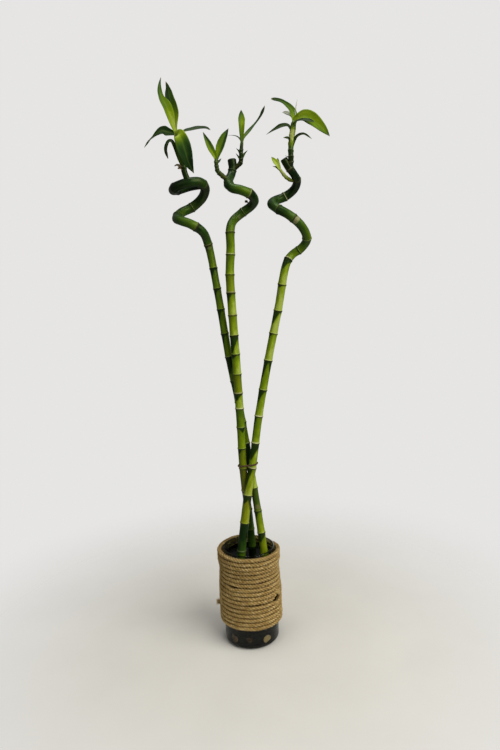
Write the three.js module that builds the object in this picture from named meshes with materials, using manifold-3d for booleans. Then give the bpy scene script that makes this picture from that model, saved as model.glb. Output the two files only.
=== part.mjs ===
// Lucky bamboo: three trained canes with leafy shoots, tied together and standing in a small
// glass jar of dark pebbles and water. A jute rope is wound round the outside of the jar.
// Millimetres, +Z up, origin at the middle of the jar's flat underside.
import * as THREE from "three";
import { mergeVertices } from "three/addons/utils/BufferGeometryUtils.js";
import Module from "manifold-3d";

const wasm = await Module();
wasm.setup();

// Driving dimensions
const clearance = 0.3;
const jar = { radius: 32.5, height: 115, wall: 2, floor: 6, heel: 5, corner: 3, segments: 32 };
const rope = { turns: 16.5, pitch: 5.2, lowest: 27.4, tall: 4.9, deep: 4.8, steps: 18, sides: 6 };
const bed = { radius: 30.1, core: 27.3, bottom: 6.4, band: 27, slope: 3, top: 93 };
const bandPebbles = { rows: [12.3, 21.6], count: 11, out: 25.4, size: [4.5, 7.4, 5.4], seed: 0 };
const topPebbles = { rings: [[0, 1], [10.5, 6], [20.5, 11]], size: [5.6, 4.8, 4.2], sunk: 1, seed: 100 };
const pebbleVariety = { least: 0.88, spread: 0.16, tilt: 0.9, seedsPerRow: 40 };
const water = { bottom: 97.6, top: 106 };
const tie = { height: 215.7, slope: 0.16, deep: 1.6, tall: 2.2, tail: 1.1, steps: 24, sides: 6 };
const tieTail = [[0, 0, 0], [2, 4.5, 0], [3, 9, -3]];
const blade = { thickness: 0.8, rows: 8 };
const ring = { rise: 0.55, reach: 1.4 };
const spacing = { straight: 22, bend: 5.5, fromScar: 2.4, fromEnd: 0.5, same: 0.01, search: 0.5 };
const caneSides = 8;
const shootSides = 6;

// Each cane: hand-set points of its straight run, then a spiral about a standing axis.
// The spiral starts at the angle "from" (0 right, 90 front, 180 left, 270 back) and has one
// height for each eighth of a turn. "rings" are the leaf scars, as distances along the cane.
const canes = {
  cane_left: {
    stem: [[20.7, -8, 52], [18.3, -4.6, 107], [12.8, 0.6, 160], [5.9, 5.6, 215],
      [-3.2, 9.7, 284], [-12.4, 10.6, 341], [-22.1, 11.6, 420]],
    spiral: {
      from: 0, radius: [16.4, 17.9], axis: [[-46.2, 12], [-47.5, 12]],
      heights: [470, 482, 490, 495, 499, 506.5, 512.5, 521, 529.5, 534.5, 533.5, 531, 529.5, 532,
        536, 536.5],
    },
    end: [],
    bendStart: 425,
    radii: [[0, 4.6], [60, 4.5], [120, 4.1], [400, 4.2], [445, 5], [500, 5.3], [600, 5.2]],
    rings: [53, 80, 106, 134, 158, 188, 213, 238, 263, 292, 319, 347, 371, 394, 421, 449, 488, 512,
      552, 590, 612],
    color: 0x5f8a2c,
  },
  cane_middle: {
    stem: [[6, 21, 52], [4.3, 18.9, 108], [2.3, 11.8, 148], [-0.4, 4.8, 182], [-2, -0.5, 215],
      [-2.4, -0.7, 260], [-3.6, -0.5, 321], [-5.4, -0.2, 380], [-6.4, 0, 434], [-4.2, 0, 462]],
    spiral: {
      from: 180, radius: [13.8, 13.8], axis: [[10.4, 0], [10.4, 0]],
      heights: [484, 494, 502, 508, 512.5, 518, 522, 525.5, 533.5, 544],
    },
    end: [[2, 11, 551], [1.7, 11.4, 559]],
    bendStart: 432,
    radii: [[0, 4.4], [150, 4.4], [300, 4.7], [430, 4.8], [500, 5.1], [560, 4.9], [600, 4.3]],
    rings: [50, 78, 105, 132, 161, 185, 210, 232, 250, 272, 295, 316, 339, 364, 384, 406, 430, 464,
      501, 530, 554],
    color: 0x6f9a24,
  },
  cane_right: {
    stem: [[-15.5, -12, 52], [-8.6, -9.8, 110], [-3, -7.9, 147], [3.2, -5.6, 185], [9.3, -4.4, 214],
      [18.8, -5, 272], [32.4, -6.1, 337], [45.5, -7.1, 393], [56, -8, 444], [63.5, -5, 452.5],
      [73, -5.5, 458.5]],
    spiral: {
      from: 0, radius: [18.3, 13.9], axis: [[60.8, -12], [56.4, -12]],
      heights: [467, 479.5, 491.5, 500, 506.5, 511.5, 515.5, 521.5, 528.5, 535],
    },
    end: [[60.5, -25.2, 542], [56.6, -26, 548.5]],
    bendStart: 395,
    radii: [[0, 5], [100, 4.9], [170, 4.4], [400, 4.4], [440, 4.7], [520, 4.9], [545, 4.5], [560, 4.1],
      [585, 3.9]],
    rings: [30, 62, 96, 129, 162, 192, 224, 255, 289, 320, 346, 375, 403, 419, 437, 468, 486, 530,
      558, 574],
    color: 0x7fa033,
  },
};

// Shoots: the stem, its leaf scars as distances along it, and the blades. Each blade has a middle
// line from root to tip, the way its upper face looks, how deep it is folded along its midrib as a
// share of its half width, and its full width at shares of its length.
const shoots = {
  shoot_left: {
    cane: "cane_left",
    stem: [[-46.1, -5, 534], [-49.8, -7, 545], [-51.5, -7, 562], [-53.6, -7, 577], [-55.4, -6.4, 588]],
    radii: [[0, 3.3], [20, 3], [60, 2.4]],
    rings: [16, 24, 33, 42],
    blades: [
      { facing: [0.5, -1, 0.1], fold: 0.3,
        widths: [[0, 3], [0.1, 3.6], [0.21, 6.6], [0.35, 9.9], [0.51, 10.4], [0.65, 5.8], [0.75, 5],
          [0.88, 2.4], [1, 0.3]],
        path: [[-56, -6, 583], [-58.5, -6.4, 589.7], [-61.9, -10.5, 603.8], [-64.4, -12.5, 611.8],
          [-68.5, -13, 618.8], [-70.4, -11.5, 625.7], [-70.4, -9, 633.8], [-68.9, -6, 641.8]] },
      { facing: [-0.2, -1, 0.2], fold: 0.35,
        widths: [[0, 3], [0.12, 4.2], [0.24, 6.6], [0.39, 9.9], [0.54, 10.9], [0.69, 9.4], [0.8, 7.6],
          [0.88, 4.4], [0.95, 2.6], [1, 0.3]],
        path: [[-55.4, -5.6, 583], [-56.8, -5, 590.3], [-57, -2.5, 605.9], [-61.4, 1, 623.1],
          [-63.3, 3.4, 634.8], [-65.2, 4, 640.8]] },
      { facing: [-0.1, -1, 0.15], fold: 0.25,
        widths: [[0, 2.5], [0.15, 6.6], [0.3, 10.6], [0.46, 6.6], [0.63, 2.4], [0.74, 1.2], [0.86, 2],
          [1, 0.3]],
        path: [[-55.6, -6, 584], [-65, -8, 586.2], [-70.7, -10.5, 586.8], [-75.8, -12, 584.2],
          [-80.7, -13, 580.2], [-83.9, -14, 577.2], [-89.9, -15, 569.5]] },
      { facing: [0, -0.7, 1], fold: 0.3,
        widths: [[0, 1.4], [0.15, 3.2], [0.3, 7], [0.45, 7], [0.65, 9.2], [0.85, 7.6], [0.95, 3.2],
          [1, 0.3]],
        path: [[-54.6, -5.4, 585.5], [-49.9, -4, 586.9], [-40.6, 2, 589.8], [-29.8, 6, 592.2],
          [-24.2, 8, 592.3], [-20.2, 9, 590.6]] },
      { facing: [-0.15, -1, 0.15], fold: 0.28,
        widths: [[0, 5], [0.08, 9], [0.17, 12.5], [0.33, 15], [0.46, 15.8], [0.64, 14.2], [0.78, 11],
          [0.9, 5], [1, 0.3]],
        path: [[-55.6, -6.4, 580.4], [-55.3, -7.6, 582.2], [-52.9, -12, 582.4], [-50.2, -17, 576],
          [-45.9, -21, 561], [-43.9, -21.5, 552.5], [-38.7, -20, 540.3]] },
      { facing: [-0.3, -1, 0.1], fold: 0.3,
        widths: [[0, 3], [0.2, 4.4], [0.45, 4], [0.6, 3.2], [0.75, 4], [0.9, 3], [1, 0.6]],
        path: [[-50.9, -7.4, 549], [-53.7, -11, 557.7], [-58.1, -14.5, 570.9], [-60.4, -15, 575.1],
          [-63.3, -15.5, 575.2], [-65.8, -16, 571.4], [-67.2, -15.5, 565.9], [-65.6, -14.5, 557.4]] },
      { facing: [0, -1, 0.3], fold: 0.3,
        widths: [[0, 2.8], [0.5, 3.2], [1, 0.8]],
        path: [[-50.4, -7.4, 548.4], [-54.2, -10.5, 550.2], [-56.7, -11.5, 551.2], [-59.7, -11.5, 550.2]] },
      { facing: [0, -1, 0.3], fold: 0.4,
        widths: [[0, 2.4], [0.6, 3.8], [1, 1]],
        path: [[-50.4, -7.4, 546.6], [-53.9, -10.5, 548.2], [-56.3, -11, 547.4]] },
    ],
    color: 0x4f8423,
  },
  shoot_middle_left: {
    cane: "cane_middle",
    stem: [[-4, 0, 536], [-9.5, -2.4, 540], [-14, -4, 544.5], [-15, -5, 550], [-15.2, -5, 559]],
    radii: [[0, 2.7], [8, 2.4], [30, 1.9]],
    rings: [8, 12, 16, 20, 24],
    blades: [
      { facing: [0.3, -1, 0.2], fold: 0.35,
        widths: [[0, 2.4], [0.15, 4], [0.3, 6.2], [0.46, 7.4], [0.63, 6.4], [0.79, 4.2], [0.92, 2],
          [1, 0.3]],
        path: [[-15.2, -5, 552.5], [-15.6, -5.2, 557.5], [-20, -9.5, 566.7], [-24.6, -11.3, 576.7],
          [-27.3, -10.5, 583.8]] },
      { facing: [-0.5, -1, 0.1], fold: 0.35,
        widths: [[0, 2.4], [0.13, 3.6], [0.27, 7], [0.45, 10.4], [0.6, 10.8], [0.76, 7.8], [0.89, 3.8],
          [1, 0.3]],
        path: [[-14.9, -4.9, 552.5], [-14, -5, 556.5], [-9.7, -3.4, 569], [-5.1, -1, 580.3],
          [-0.4, 2, 589.6]] },
      { facing: [0, -1, 0.3], fold: 0.3,
        widths: [[0, 2.4], [0.5, 2.6], [1, 0.3]],
        path: [[-15, -5, 552], [-11.8, -6.4, 554.4], [-9.4, -7, 557]] },
    ],
    color: 0x6c9c1f,
  },
  shoot_middle_right: {
    cane: "cane_middle",
    stem: [[1.8, 10.6, 548], [7, 9.6, 551.4], [11, 9, 555], [12, 8, 562], [12.8, 8, 571], [14, 8, 579]],
    radii: [[0, 2.6], [10, 2.4], [35, 1.7]],
    rings: [12, 16.5, 21, 26],
    blades: [
      { facing: [0.3, -1, 0], fold: 0.35,
        widths: [[0, 3], [0.17, 3.6], [0.34, 5.6], [0.53, 6.7], [0.7, 7.6], [0.85, 5], [0.93, 2.6],
          [1, 0.3]],
        path: [[13.4, 8, 574], [13.3, 8, 580.5], [13.7, 6, 592.3], [13.9, 6.4, 598.9], [14.2, 9.8, 610.3]] },
      { facing: [-0.6, -1, 0.2], fold: 0.35,
        widths: [[0, 2.6], [0.1, 3], [0.18, 4.8], [0.32, 4.9], [0.45, 3.3], [0.58, 2.2], [0.74, 2.1],
          [0.87, 2.9], [0.94, 1.8], [1, 0.3]],
        path: [[13.8, 8.1, 576], [15.2, 8.2, 579.8], [22.3, 12.5, 589.1], [31, 14.6, 598.8],
          [35.4, 15, 604.5], [38, 14.6, 609.2], [40.3, 14, 614.8]] },
      { facing: [0, -0.4, 1], fold: 0.4,
        widths: [[0, 2.4], [0.4, 1.8], [1, 0.4]],
        path: [[13.2, 8.2, 576], [11.3, 8.6, 579.7], [8.7, 11, 582.9], [4.9, 14, 585.1], [-1.5, 18, 586.6]] },
      { facing: [-0.3, -1, 0.3], fold: 0.3,
        widths: [[0, 2.4], [0.5, 2.2], [1, 0.3]],
        path: [[12.3, 8, 562], [11.2, 7, 564.2], [9.7, 5.5, 566.6], [7.1, 4.5, 569.2]] },
      { facing: [-0.3, -1, 0.3], fold: 0.3,
        widths: [[0, 2.4], [0.5, 2.2], [1, 0.3]],
        path: [[12, 8, 556.6], [10.6, 7, 558.7], [8.7, 5, 561], [6.5, 4, 563.8]] },
      { facing: [0.3, -1, 0.3], fold: 0.3,
        widths: [[0, 2.4], [0.5, 2.6], [1, 0.3]],
        path: [[12, 8, 557.4], [13.1, 8, 559.5], [15.2, 10, 563.8], [19.3, 11, 568.1]] },
    ],
    color: 0x6c9c1f,
  },
  shoot_right_top: {
    cane: "cane_right",
    stem: [[62.4, -24.4, 538], [63.4, -27.4, 546], [63.6, -28.6, 556], [64.4, -28, 566],
      [66.2, -27, 576], [68.2, -26, 588]],
    radii: [[0, 2.9], [18, 2.7], [50, 2.1]],
    rings: [9, 14, 20, 27, 35],
    blades: [
      { facing: [0.1, -1, 0.4], fold: 0.3,
        widths: [[0, 3.4], [0.06, 5], [0.16, 6.3], [0.27, 7.6], [0.38, 7.2], [0.52, 6.3], [0.66, 4.3],
          [0.79, 3.9], [0.92, 3.9], [0.98, 2.2], [1, 0.8]],
        path: [[68, -26.2, 583], [68.7, -26, 587.3], [67.6, -22, 596.6], [65.5, -20.4, 600.7],
          [58.2, -18, 608], [54, -17.6, 610.1], [45.6, -19, 611.4]] },
      { facing: [0, -0.8, 0.5], fold: 0.3,
        widths: [[0, 2], [0.4, 4.6], [0.75, 5.4], [0.93, 3.2], [1, 0.5]],
        path: [[67.4, -26, 584], [67.6, -25, 589.2], [65.8, -19, 594.1], [60.6, -10, 599.7],
          [58, -6, 601.4]] },
      { facing: [-0.2, -1, 0.3], fold: 0.28,
        widths: [[0, 3.4], [0.07, 4.4], [0.17, 7.6], [0.27, 11.8], [0.38, 13.2], [0.5, 13.4],
          [0.63, 11.8], [0.77, 8.8], [0.89, 4.9], [1, 0.3]],
        path: [[68.2, -26.2, 584], [69.4, -26.6, 588.1], [78.3, -32.5, 589.7], [87, -36, 583.6],
          [96, -36.6, 575.5], [103.4, -35, 567.9]] },
      { facing: [0, -0.8, 0.6], fold: 0.3,
        widths: [[0, 2], [0.25, 2.6], [0.5, 3.8], [0.75, 6], [0.93, 2.6], [1, 0.3]],
        path: [[67.2, -26.6, 584], [68, -28, 585.9], [76.8, -34.5, 585.5], [81.2, -37.5, 583.8],
          [87.5, -39, 581.8]] },
      { facing: [0, -1, 0.5], fold: 0.35,
        widths: [[0, 2], [0.13, 1.8], [0.24, 2.6], [0.34, 4], [0.46, 4.6], [0.58, 4.6], [0.71, 3.1],
          [0.84, 1.8], [1, 0.3]],
        path: [[65.2, -27.2, 571], [65.1, -27.6, 575.5], [61.6, -30, 581.1], [54.5, -32.4, 580.6],
          [47.1, -33.4, 577.3], [38.9, -33, 572.8]] },
      { facing: [0, -1, 0.5], fold: 0.35,
        widths: [[0, 2.4], [0.2, 3], [0.4, 4.3], [0.55, 4], [0.72, 3.3], [0.85, 2.6], [1, 0.5]],
        path: [[64.3, -28, 557], [65.4, -28.2, 560.2], [69.7, -30, 569.8], [76.7, -31.4, 572.3],
          [85.5, -30, 567.3]] },
      { facing: [0, -1, 0.5], fold: 0.3,
        widths: [[0, 2.4], [0.35, 3.2], [0.65, 2], [1, 0.3]],
        path: [[64, -28.2, 559], [62.8, -30, 566.3], [60.8, -32, 568.5], [56, -33.5, 568.9]] },
      { facing: [0, -0.7, 1], fold: 0.3,
        widths: [[0, 2.4], [0.5, 2], [1, 0.3]],
        path: [[63.4, -28.2, 547.6], [61.4, -29.4, 549.8], [57.3, -32, 551.5]] },
      { facing: [0.3, -1, 0], fold: 0.4,
        widths: [[0, 2], [0.5, 1.6], [1, 0.3]],
        path: [[69, -25.6, 585.4], [70.2, -25, 590.5], [70.5, -21, 599.1], [73, -17, 610.4]] },
    ],
    color: 0x5f9426,
  },
  shoot_right_small: {
    cane: "cane_right",
    stem: [[69, -13, 529.4], [63, -20, 529], [58.4, -23, 531.4], [54.4, -25.4, 535.6], [50.4, -26, 541.6]],
    radii: [[0, 1.9], [30, 1.5]],
    rings: [12, 16, 20],
    blades: [
      { facing: [0.3, -1, 0.2], fold: 0.35,
        widths: [[0, 2], [0.3, 4], [0.6, 4.6], [0.85, 2.6], [1, 0.3]],
        path: [[51.6, -26, 538.9], [49.2, -27.4, 542.9], [43.3, -28, 551.5]] },
      { facing: [0, -1, 0.2], fold: 0.35,
        widths: [[0, 2], [0.4, 3.4], [0.75, 2.8], [1, 0.3]],
        path: [[51.4, -25.6, 540], [50.2, -24.4, 545.8], [50, -23, 551.5]] },
      { facing: [0, -0.8, 1], fold: 0.3,
        widths: [[0, 2], [0.5, 2.4], [1, 0.3]],
        path: [[52, -25.8, 537.8], [47.4, -28, 541.2], [44.2, -29, 541.9]] },
    ],
    color: 0x86a23c,
  },
};

const vector = ([x, y, z]) => new THREE.Vector3(x, y, z);

// A value read from a list of [distance, value] pairs
function valueAt(pairs, distance) {
  const next = pairs.findIndex(([place]) => place >= distance);
  if (next < 0) return pairs[pairs.length - 1][1];
  if (next === 0) return pairs[0][1];
  const [[start, low], [end, high]] = [pairs[next - 1], pairs[next]];
  return THREE.MathUtils.mapLinear(distance, start, end, low, high);
}

function indexed(points, triangles) {
  const geometry = new THREE.BufferGeometry().setFromPoints(points);
  geometry.setIndex(triangles);
  geometry.computeVertexNormals();
  return geometry;
}

// A closed skin over rings of points, each ring run anticlockwise seen against its travel.
// With looped true the last ring joins the first, otherwise both ends are capped.
function loft(rings, looped = false) {
  const sides = rings[0].length;
  const points = rings.flat();
  const triangles = [];
  const spans = looped ? rings.length : rings.length - 1;
  for (let i = 0; i < spans; i += 1) {
    const here = i * sides;
    const there = ((i + 1) % rings.length) * sides;
    for (let k = 0; k < sides; k += 1) {
      const next = (k + 1) % sides;
      triangles.push(here + k, here + next, there + next);
      triangles.push(here + k, there + next, there + k);
    }
  }
  if (!looped) {
    const last = (rings.length - 1) * sides;
    for (const [first, corners, turn] of [[0, rings[0], 1], [last, rings[rings.length - 1], 0]]) {
      const middle = corners.reduce((sum, p) => sum.add(p), new THREE.Vector3()).divideScalar(sides);
      const centre = points.push(middle) - 1;
      for (let k = 0; k < sides; k += 1) {
        const next = (k + 1) % sides;
        if (turn) triangles.push(centre, first + next, first + k);
        else triangles.push(centre, first + k, first + next);
      }
    }
  }
  return indexed(points, triangles);
}

// Distances at which a stem gets a ring of points: closer in the spiral and at each leaf scar
function stations(length, scars, bendStart) {
  const list = scars.flatMap((s) => [s - ring.reach, s, s + ring.reach]);
  for (let s = 0; s < length; s += s < bendStart ? spacing.straight : spacing.bend) {
    if (list.every((other) => Math.abs(other - s) > spacing.fromScar)) list.push(s);
  }
  const inside = list.filter((s) => s > 0 && s < length - spacing.fromEnd);
  return [...inside, 0, length].sort((a, b) => a - b);
}

// A round stem along a curve, with a raised scar at each ring, grown all over by "grow"
function stemGeometry(curve, radii, scars, sides, bendStart, grow = 0) {
  const length = curve.getLength();
  const places = stations(length, scars, bendStart);
  const turn = new THREE.Quaternion();
  const across = new THREE.Vector3();
  let before = null;
  const rings = places.map((place, index) => {
    const along = place / length;
    const tangent = curve.getTangentAt(along);
    if (before) across.applyQuaternion(turn.setFromUnitVectors(before, tangent));
    else across.set(1, 0, 0).cross(tangent).normalize();
    before = tangent;
    const aside = new THREE.Vector3().crossVectors(tangent, across);
    const scar = scars.some((s) => Math.abs(s - place) < spacing.same) ? ring.rise : 0;
    const radius = valueAt(radii, place) + scar + grow;
    const centre = curve.getPointAt(along);
    if (index === 0) centre.addScaledVector(tangent, -grow);
    if (index === places.length - 1) centre.addScaledVector(tangent, grow);
    return Array.from({ length: sides }, (_, k) => {
      const angle = (2 * Math.PI * k) / sides;
      return centre.clone()
        .addScaledVector(across, radius * Math.cos(angle))
        .addScaledVector(aside, radius * Math.sin(angle));
    });
  });
  return loft(rings);
}

// The straight run, the spiral worked out eighth by eighth of a turn, then the end
function caneCurve({ stem, spiral, end }) {
  const points = stem.map(vector);
  const { from, radius, axis, heights } = spiral;
  heights.forEach((height, eighth) => {
    const angle = THREE.MathUtils.degToRad(from + 45 * eighth);
    const blend = THREE.MathUtils.smoothstep(eighth, 0, heights.length - 1);
    const reach = THREE.MathUtils.lerp(radius[0], radius[1], blend);
    const middleX = THREE.MathUtils.lerp(axis[0][0], axis[1][0], blend);
    const middleY = THREE.MathUtils.lerp(axis[0][1], axis[1][1], blend);
    points.push(vector([middleX + reach * Math.cos(angle), middleY - reach * Math.sin(angle), height]));
  });
  points.push(...end.map(vector));
  return new THREE.CatmullRomCurve3(points, false, "centripetal");
}

function caneGeometry(cane, grow = 0) {
  return stemGeometry(caneCurve(cane), cane.radii, cane.rings, caneSides, cane.bendStart, grow);
}

// A blade with its midrib sunk between two raised halves, split alike on both faces
function bladeGeometry({ path, widths, facing, fold }) {
  const curve = new THREE.CatmullRomCurve3(path.map(vector), false, "centripetal");
  const look = vector(facing).normalize();
  const points = [];
  for (let row = 0; row <= blade.rows; row += 1) {
    const along = row / blade.rows;
    const tangent = curve.getTangentAt(along);
    const side = new THREE.Vector3().crossVectors(tangent, look).normalize();
    const up = new THREE.Vector3().crossVectors(side, tangent);
    const half = valueAt(widths, along) / 2;
    for (const share of [-1, 0, 1]) {
      const middle = curve.getPointAt(along).addScaledVector(side, share * half)
        .addScaledVector(up, Math.abs(share) * fold * half);
      points.push(middle.clone().addScaledVector(up, blade.thickness / 2));
      points.push(middle.clone().addScaledVector(up, -blade.thickness / 2));
    }
  }
  const top = (row, column) => 2 * (3 * row + column);
  const under = (row, column) => top(row, column) + 1;
  const triangles = [];
  const quad = (a, b, c, d) => triangles.push(a, b, c, a, c, d);
  for (let row = 0; row < blade.rows; row += 1) {
    for (const column of [0, 1]) {
      quad(top(row, column), top(row, column + 1), top(row + 1, column + 1), top(row + 1, column));
      triangles.push(under(row, column), under(row + 1, column + 1), under(row, column + 1));
      triangles.push(under(row, column), under(row + 1, column), under(row + 1, column + 1));
    }
    quad(under(row, 0), top(row, 0), top(row + 1, 0), under(row + 1, 0));
    quad(top(row, 2), under(row, 2), under(row + 1, 2), top(row + 1, 2));
  }
  const last = blade.rows;
  for (const column of [0, 1]) {
    quad(under(0, column), under(0, column + 1), top(0, column + 1), top(0, column));
    quad(top(last, column), top(last, column + 1), under(last, column + 1), under(last, column));
  }
  return indexed(points, triangles);
}

function toSolid(geometry) {
  const bare = geometry.clone();
  bare.deleteAttribute("normal");
  bare.deleteAttribute("uv");
  const merged = mergeVertices(bare, 1e-4);
  const { array } = merged.index;
  const triangles = [];
  for (let i = 0; i < array.length; i += 3) {
    const [a, b, c] = [array[i], array[i + 1], array[i + 2]];
    if (a !== b && b !== c && c !== a) triangles.push(a, b, c);
  }
  const vertProperties = new Float32Array(merged.attributes.position.array);
  const triVerts = new Uint32Array(triangles);
  return new wasm.Manifold(new wasm.Mesh({ numProp: 3, vertProperties, triVerts }));
}

// The largest skin of a solid: sealed hollows are filled and loose scraps are dropped
function toGeometry(solid) {
  const bodies = solid.decompose();
  const whole = bodies.reduce((best, other) => (other.volume() > best.volume() ? other : best));
  const { vertProperties, triVerts } = whole.getMesh();
  const geometry = new THREE.BufferGeometry();
  geometry.setAttribute("position", new THREE.BufferAttribute(new Float32Array(vertProperties), 3));
  geometry.setIndex(new THREE.BufferAttribute(new Uint32Array(triVerts), 1));
  geometry.computeVertexNormals();
  return geometry;
}

function lathe(profile) {
  const points = profile.map(([radius, height]) => new THREE.Vector2(radius, height));
  return new THREE.LatheGeometry(points, jar.segments).rotateX(Math.PI / 2);
}

// Points of a quarter arc from angle start to angle end, in degrees
function arc(radius, height, size, start, end, count) {
  return Array.from({ length: count + 1 }, (_, k) => {
    const angle = THREE.MathUtils.degToRad(THREE.MathUtils.lerp(start, end, k / count));
    return [radius + size * Math.cos(angle), height + size * Math.sin(angle)];
  });
}

function jarGeometry() {
  const { radius, height, wall, floor, heel, corner } = jar;
  const lip = wall / 2;
  const inner = radius - wall;
  return lathe([
    [0, 0],
    ...arc(radius - heel, heel, heel, -90, 0, 4),
    ...arc(radius - lip, height - lip, lip, 0, 180, 4),
    ...arc(inner - corner, floor + corner, corner, 0, -90, 3),
    [0, floor],
  ]);
}

// One rope wound from the foot to the rim: the turns fall from left to right across the front
function ropeGeometry() {
  const inside = (jar.radius + clearance) / Math.cos(Math.PI / rope.steps);
  const centre = inside + rope.deep / 2;
  const count = Math.round(rope.turns * rope.steps);
  const rings = [];
  for (let i = 0; i <= count; i += 1) {
    const angle = (-2 * Math.PI * i) / rope.steps;
    const height = rope.lowest + (rope.pitch * i) / rope.steps;
    rings.push(Array.from({ length: rope.sides }, (_, k) => {
      const turn = (2 * Math.PI * k) / rope.sides;
      const reach = centre + (rope.deep / 2) * Math.cos(turn);
      const rise = (rope.tall / 2 / Math.sin(Math.PI / 3)) * Math.sin(turn);
      return new THREE.Vector3(reach * Math.cos(angle), reach * Math.sin(angle), height + rise);
    }));
  }
  return loft(rings);
}

function pebble(size, angle, reach, height, seed) {
  const { least, spread, tilt } = pebbleVariety;
  const draw = THREE.MathUtils.seededRandom;
  draw(seed);
  const [out, around, tall] = size.map((value) => value * (least + spread * draw()));
  return new THREE.OctahedronGeometry(1, 1)
    .rotateX(2 * Math.PI * draw())
    .scale(out, around, tall)
    .rotateX(tilt * (draw() - 0.5))
    .translate(reach, 0, height)
    .rotateZ(angle);
}

// Pebbles stand out of the fill in the band of bare glass and on top
function bedGeometry(holes) {
  const { radius, core, bottom, band, slope, top } = bed;
  const fill = [[0, bottom], [core, bottom], [core, band], [radius, band + slope], [radius, top], [0, top]];
  let solid = toSolid(lathe(fill));
  bandPebbles.rows.forEach((height, row) => {
    for (let k = 0; k < bandPebbles.count; k += 1) {
      const angle = (2 * Math.PI * (k + row / 2)) / bandPebbles.count;
      const seed = bandPebbles.seed + pebbleVariety.seedsPerRow * row + k;
      solid = solid.add(toSolid(pebble(bandPebbles.size, angle, bandPebbles.out, height, seed)));
    }
  });
  topPebbles.rings.forEach(([reach, count], row) => {
    for (let k = 0; k < count; k += 1) {
      const angle = (2 * Math.PI * (k + row / 3)) / count;
      const height = top - topPebbles.sunk;
      const seed = topPebbles.seed + pebbleVariety.seedsPerRow * row + k;
      solid = solid.add(toSolid(pebble(topPebbles.size, angle, reach, height, seed)));
    }
  });
  for (const hole of holes) solid = solid.subtract(hole);
  return toGeometry(solid);
}

function waterGeometry(holes) {
  const { bottom, top } = water;
  let solid = toSolid(lathe([[0, bottom], [bed.radius, bottom], [bed.radius, top], [0, top]]));
  for (const hole of holes) solid = solid.subtract(hole);
  return toGeometry(solid);
}

// Where a cane's middle line crosses a height on its straight run
function crossing(cane, height) {
  const curve = caneCurve(cane);
  const length = curve.getLength();
  for (let s = 0; s < length; s += spacing.search) {
    const point = curve.getPointAt(s / length);
    if (point.z >= height) return { point, radius: valueAt(cane.radii, s) };
  }
  return null;
}

// The cord lies round the outer sides of the three canes, with a twisted tail at the back
function tieGeometry() {
  const posts = Object.values(canes).map((cane) => crossing(cane, tie.height));
  const lift = (x) => tie.height + tie.slope * (x - posts[0].point.x);
  const lines = Array.from({ length: tie.steps }, (_, k) => {
    const angle = (-2 * Math.PI * k) / tie.steps;
    const out = new THREE.Vector3(Math.cos(angle), Math.sin(angle), 0);
    const reach = ({ point, radius }) => point.dot(out) + radius;
    const post = posts.reduce((best, other) => (reach(other) > reach(best) ? other : best));
    const gap = post.radius + clearance + tie.deep / 2;
    const centre = post.point.clone().addScaledVector(out, gap);
    centre.z = lift(centre.x);
    return { out, centre };
  });
  const rings = lines.map(({ out, centre }) => Array.from({ length: tie.sides }, (_, k) => {
    const turn = (2 * Math.PI * k) / tie.sides;
    const point = centre.clone().addScaledVector(out, (tie.deep / 2) * Math.cos(turn));
    point.z += (tie.tall / 2) * Math.sin(turn);
    return point;
  }));
  const back = lines[Math.round((3 * tie.steps) / 4)].centre;
  const tail = new THREE.CatmullRomCurve3(tieTail.map((step) => back.clone().add(vector(step))));
  const twist = stemGeometry(tail, [[0, tie.tail]], [], tie.sides, 0);
  return toGeometry(toSolid(loft(rings, true)).add(toSolid(twist)));
}

function shootGeometry({ cane, stem, radii, rings, blades }) {
  const curve = new THREE.CatmullRomCurve3(stem.map(vector), false, "centripetal");
  let solid = toSolid(stemGeometry(curve, radii, rings, shootSides, 0));
  for (const leaf of blades) solid = solid.add(toSolid(bladeGeometry(leaf)));
  return toGeometry(solid.subtract(toSolid(caneGeometry(canes[cane], clearance))));
}

const group = new THREE.Group();

function piece(name, geometry, color, roughness, metalness = 0, opacity = 1) {
  const transparent = opacity < 1;
  const material = new THREE.MeshStandardMaterial({ color, roughness, metalness, opacity, transparent });
  const mesh = new THREE.Mesh(geometry, material);
  mesh.name = name;
  group.add(mesh);
}

const holes = Object.values(canes).map((cane) => toSolid(caneGeometry(cane, clearance)));
piece("glass_jar", jarGeometry(), 0xdfe8e6, 0.05, 0, 0.35);
piece("rope_wrap", ropeGeometry(), 0xa5824f, 0.9);
piece("pebble_bed", bedGeometry(holes), 0x1c1f1c, 0.4);
piece("water", waterGeometry(holes), 0xbfcfc8, 0.05, 0, 0.4);
for (const [name, cane] of Object.entries(canes)) piece(name, caneGeometry(cane), cane.color, 0.45);
for (const [name, shoot] of Object.entries(shoots)) piece(name, shootGeometry(shoot), shoot.color, 0.5);
piece("cane_tie", tieGeometry(), 0x4a2418, 0.6);

export default group;
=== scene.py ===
"""Lucky bamboo in a rope-wound glass jar: canes, leaves, rope, glass and stones built round the part."""

import math
import random

import bmesh
import bpy
import numpy as np
from mathutils import Matrix, Vector, noise


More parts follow.
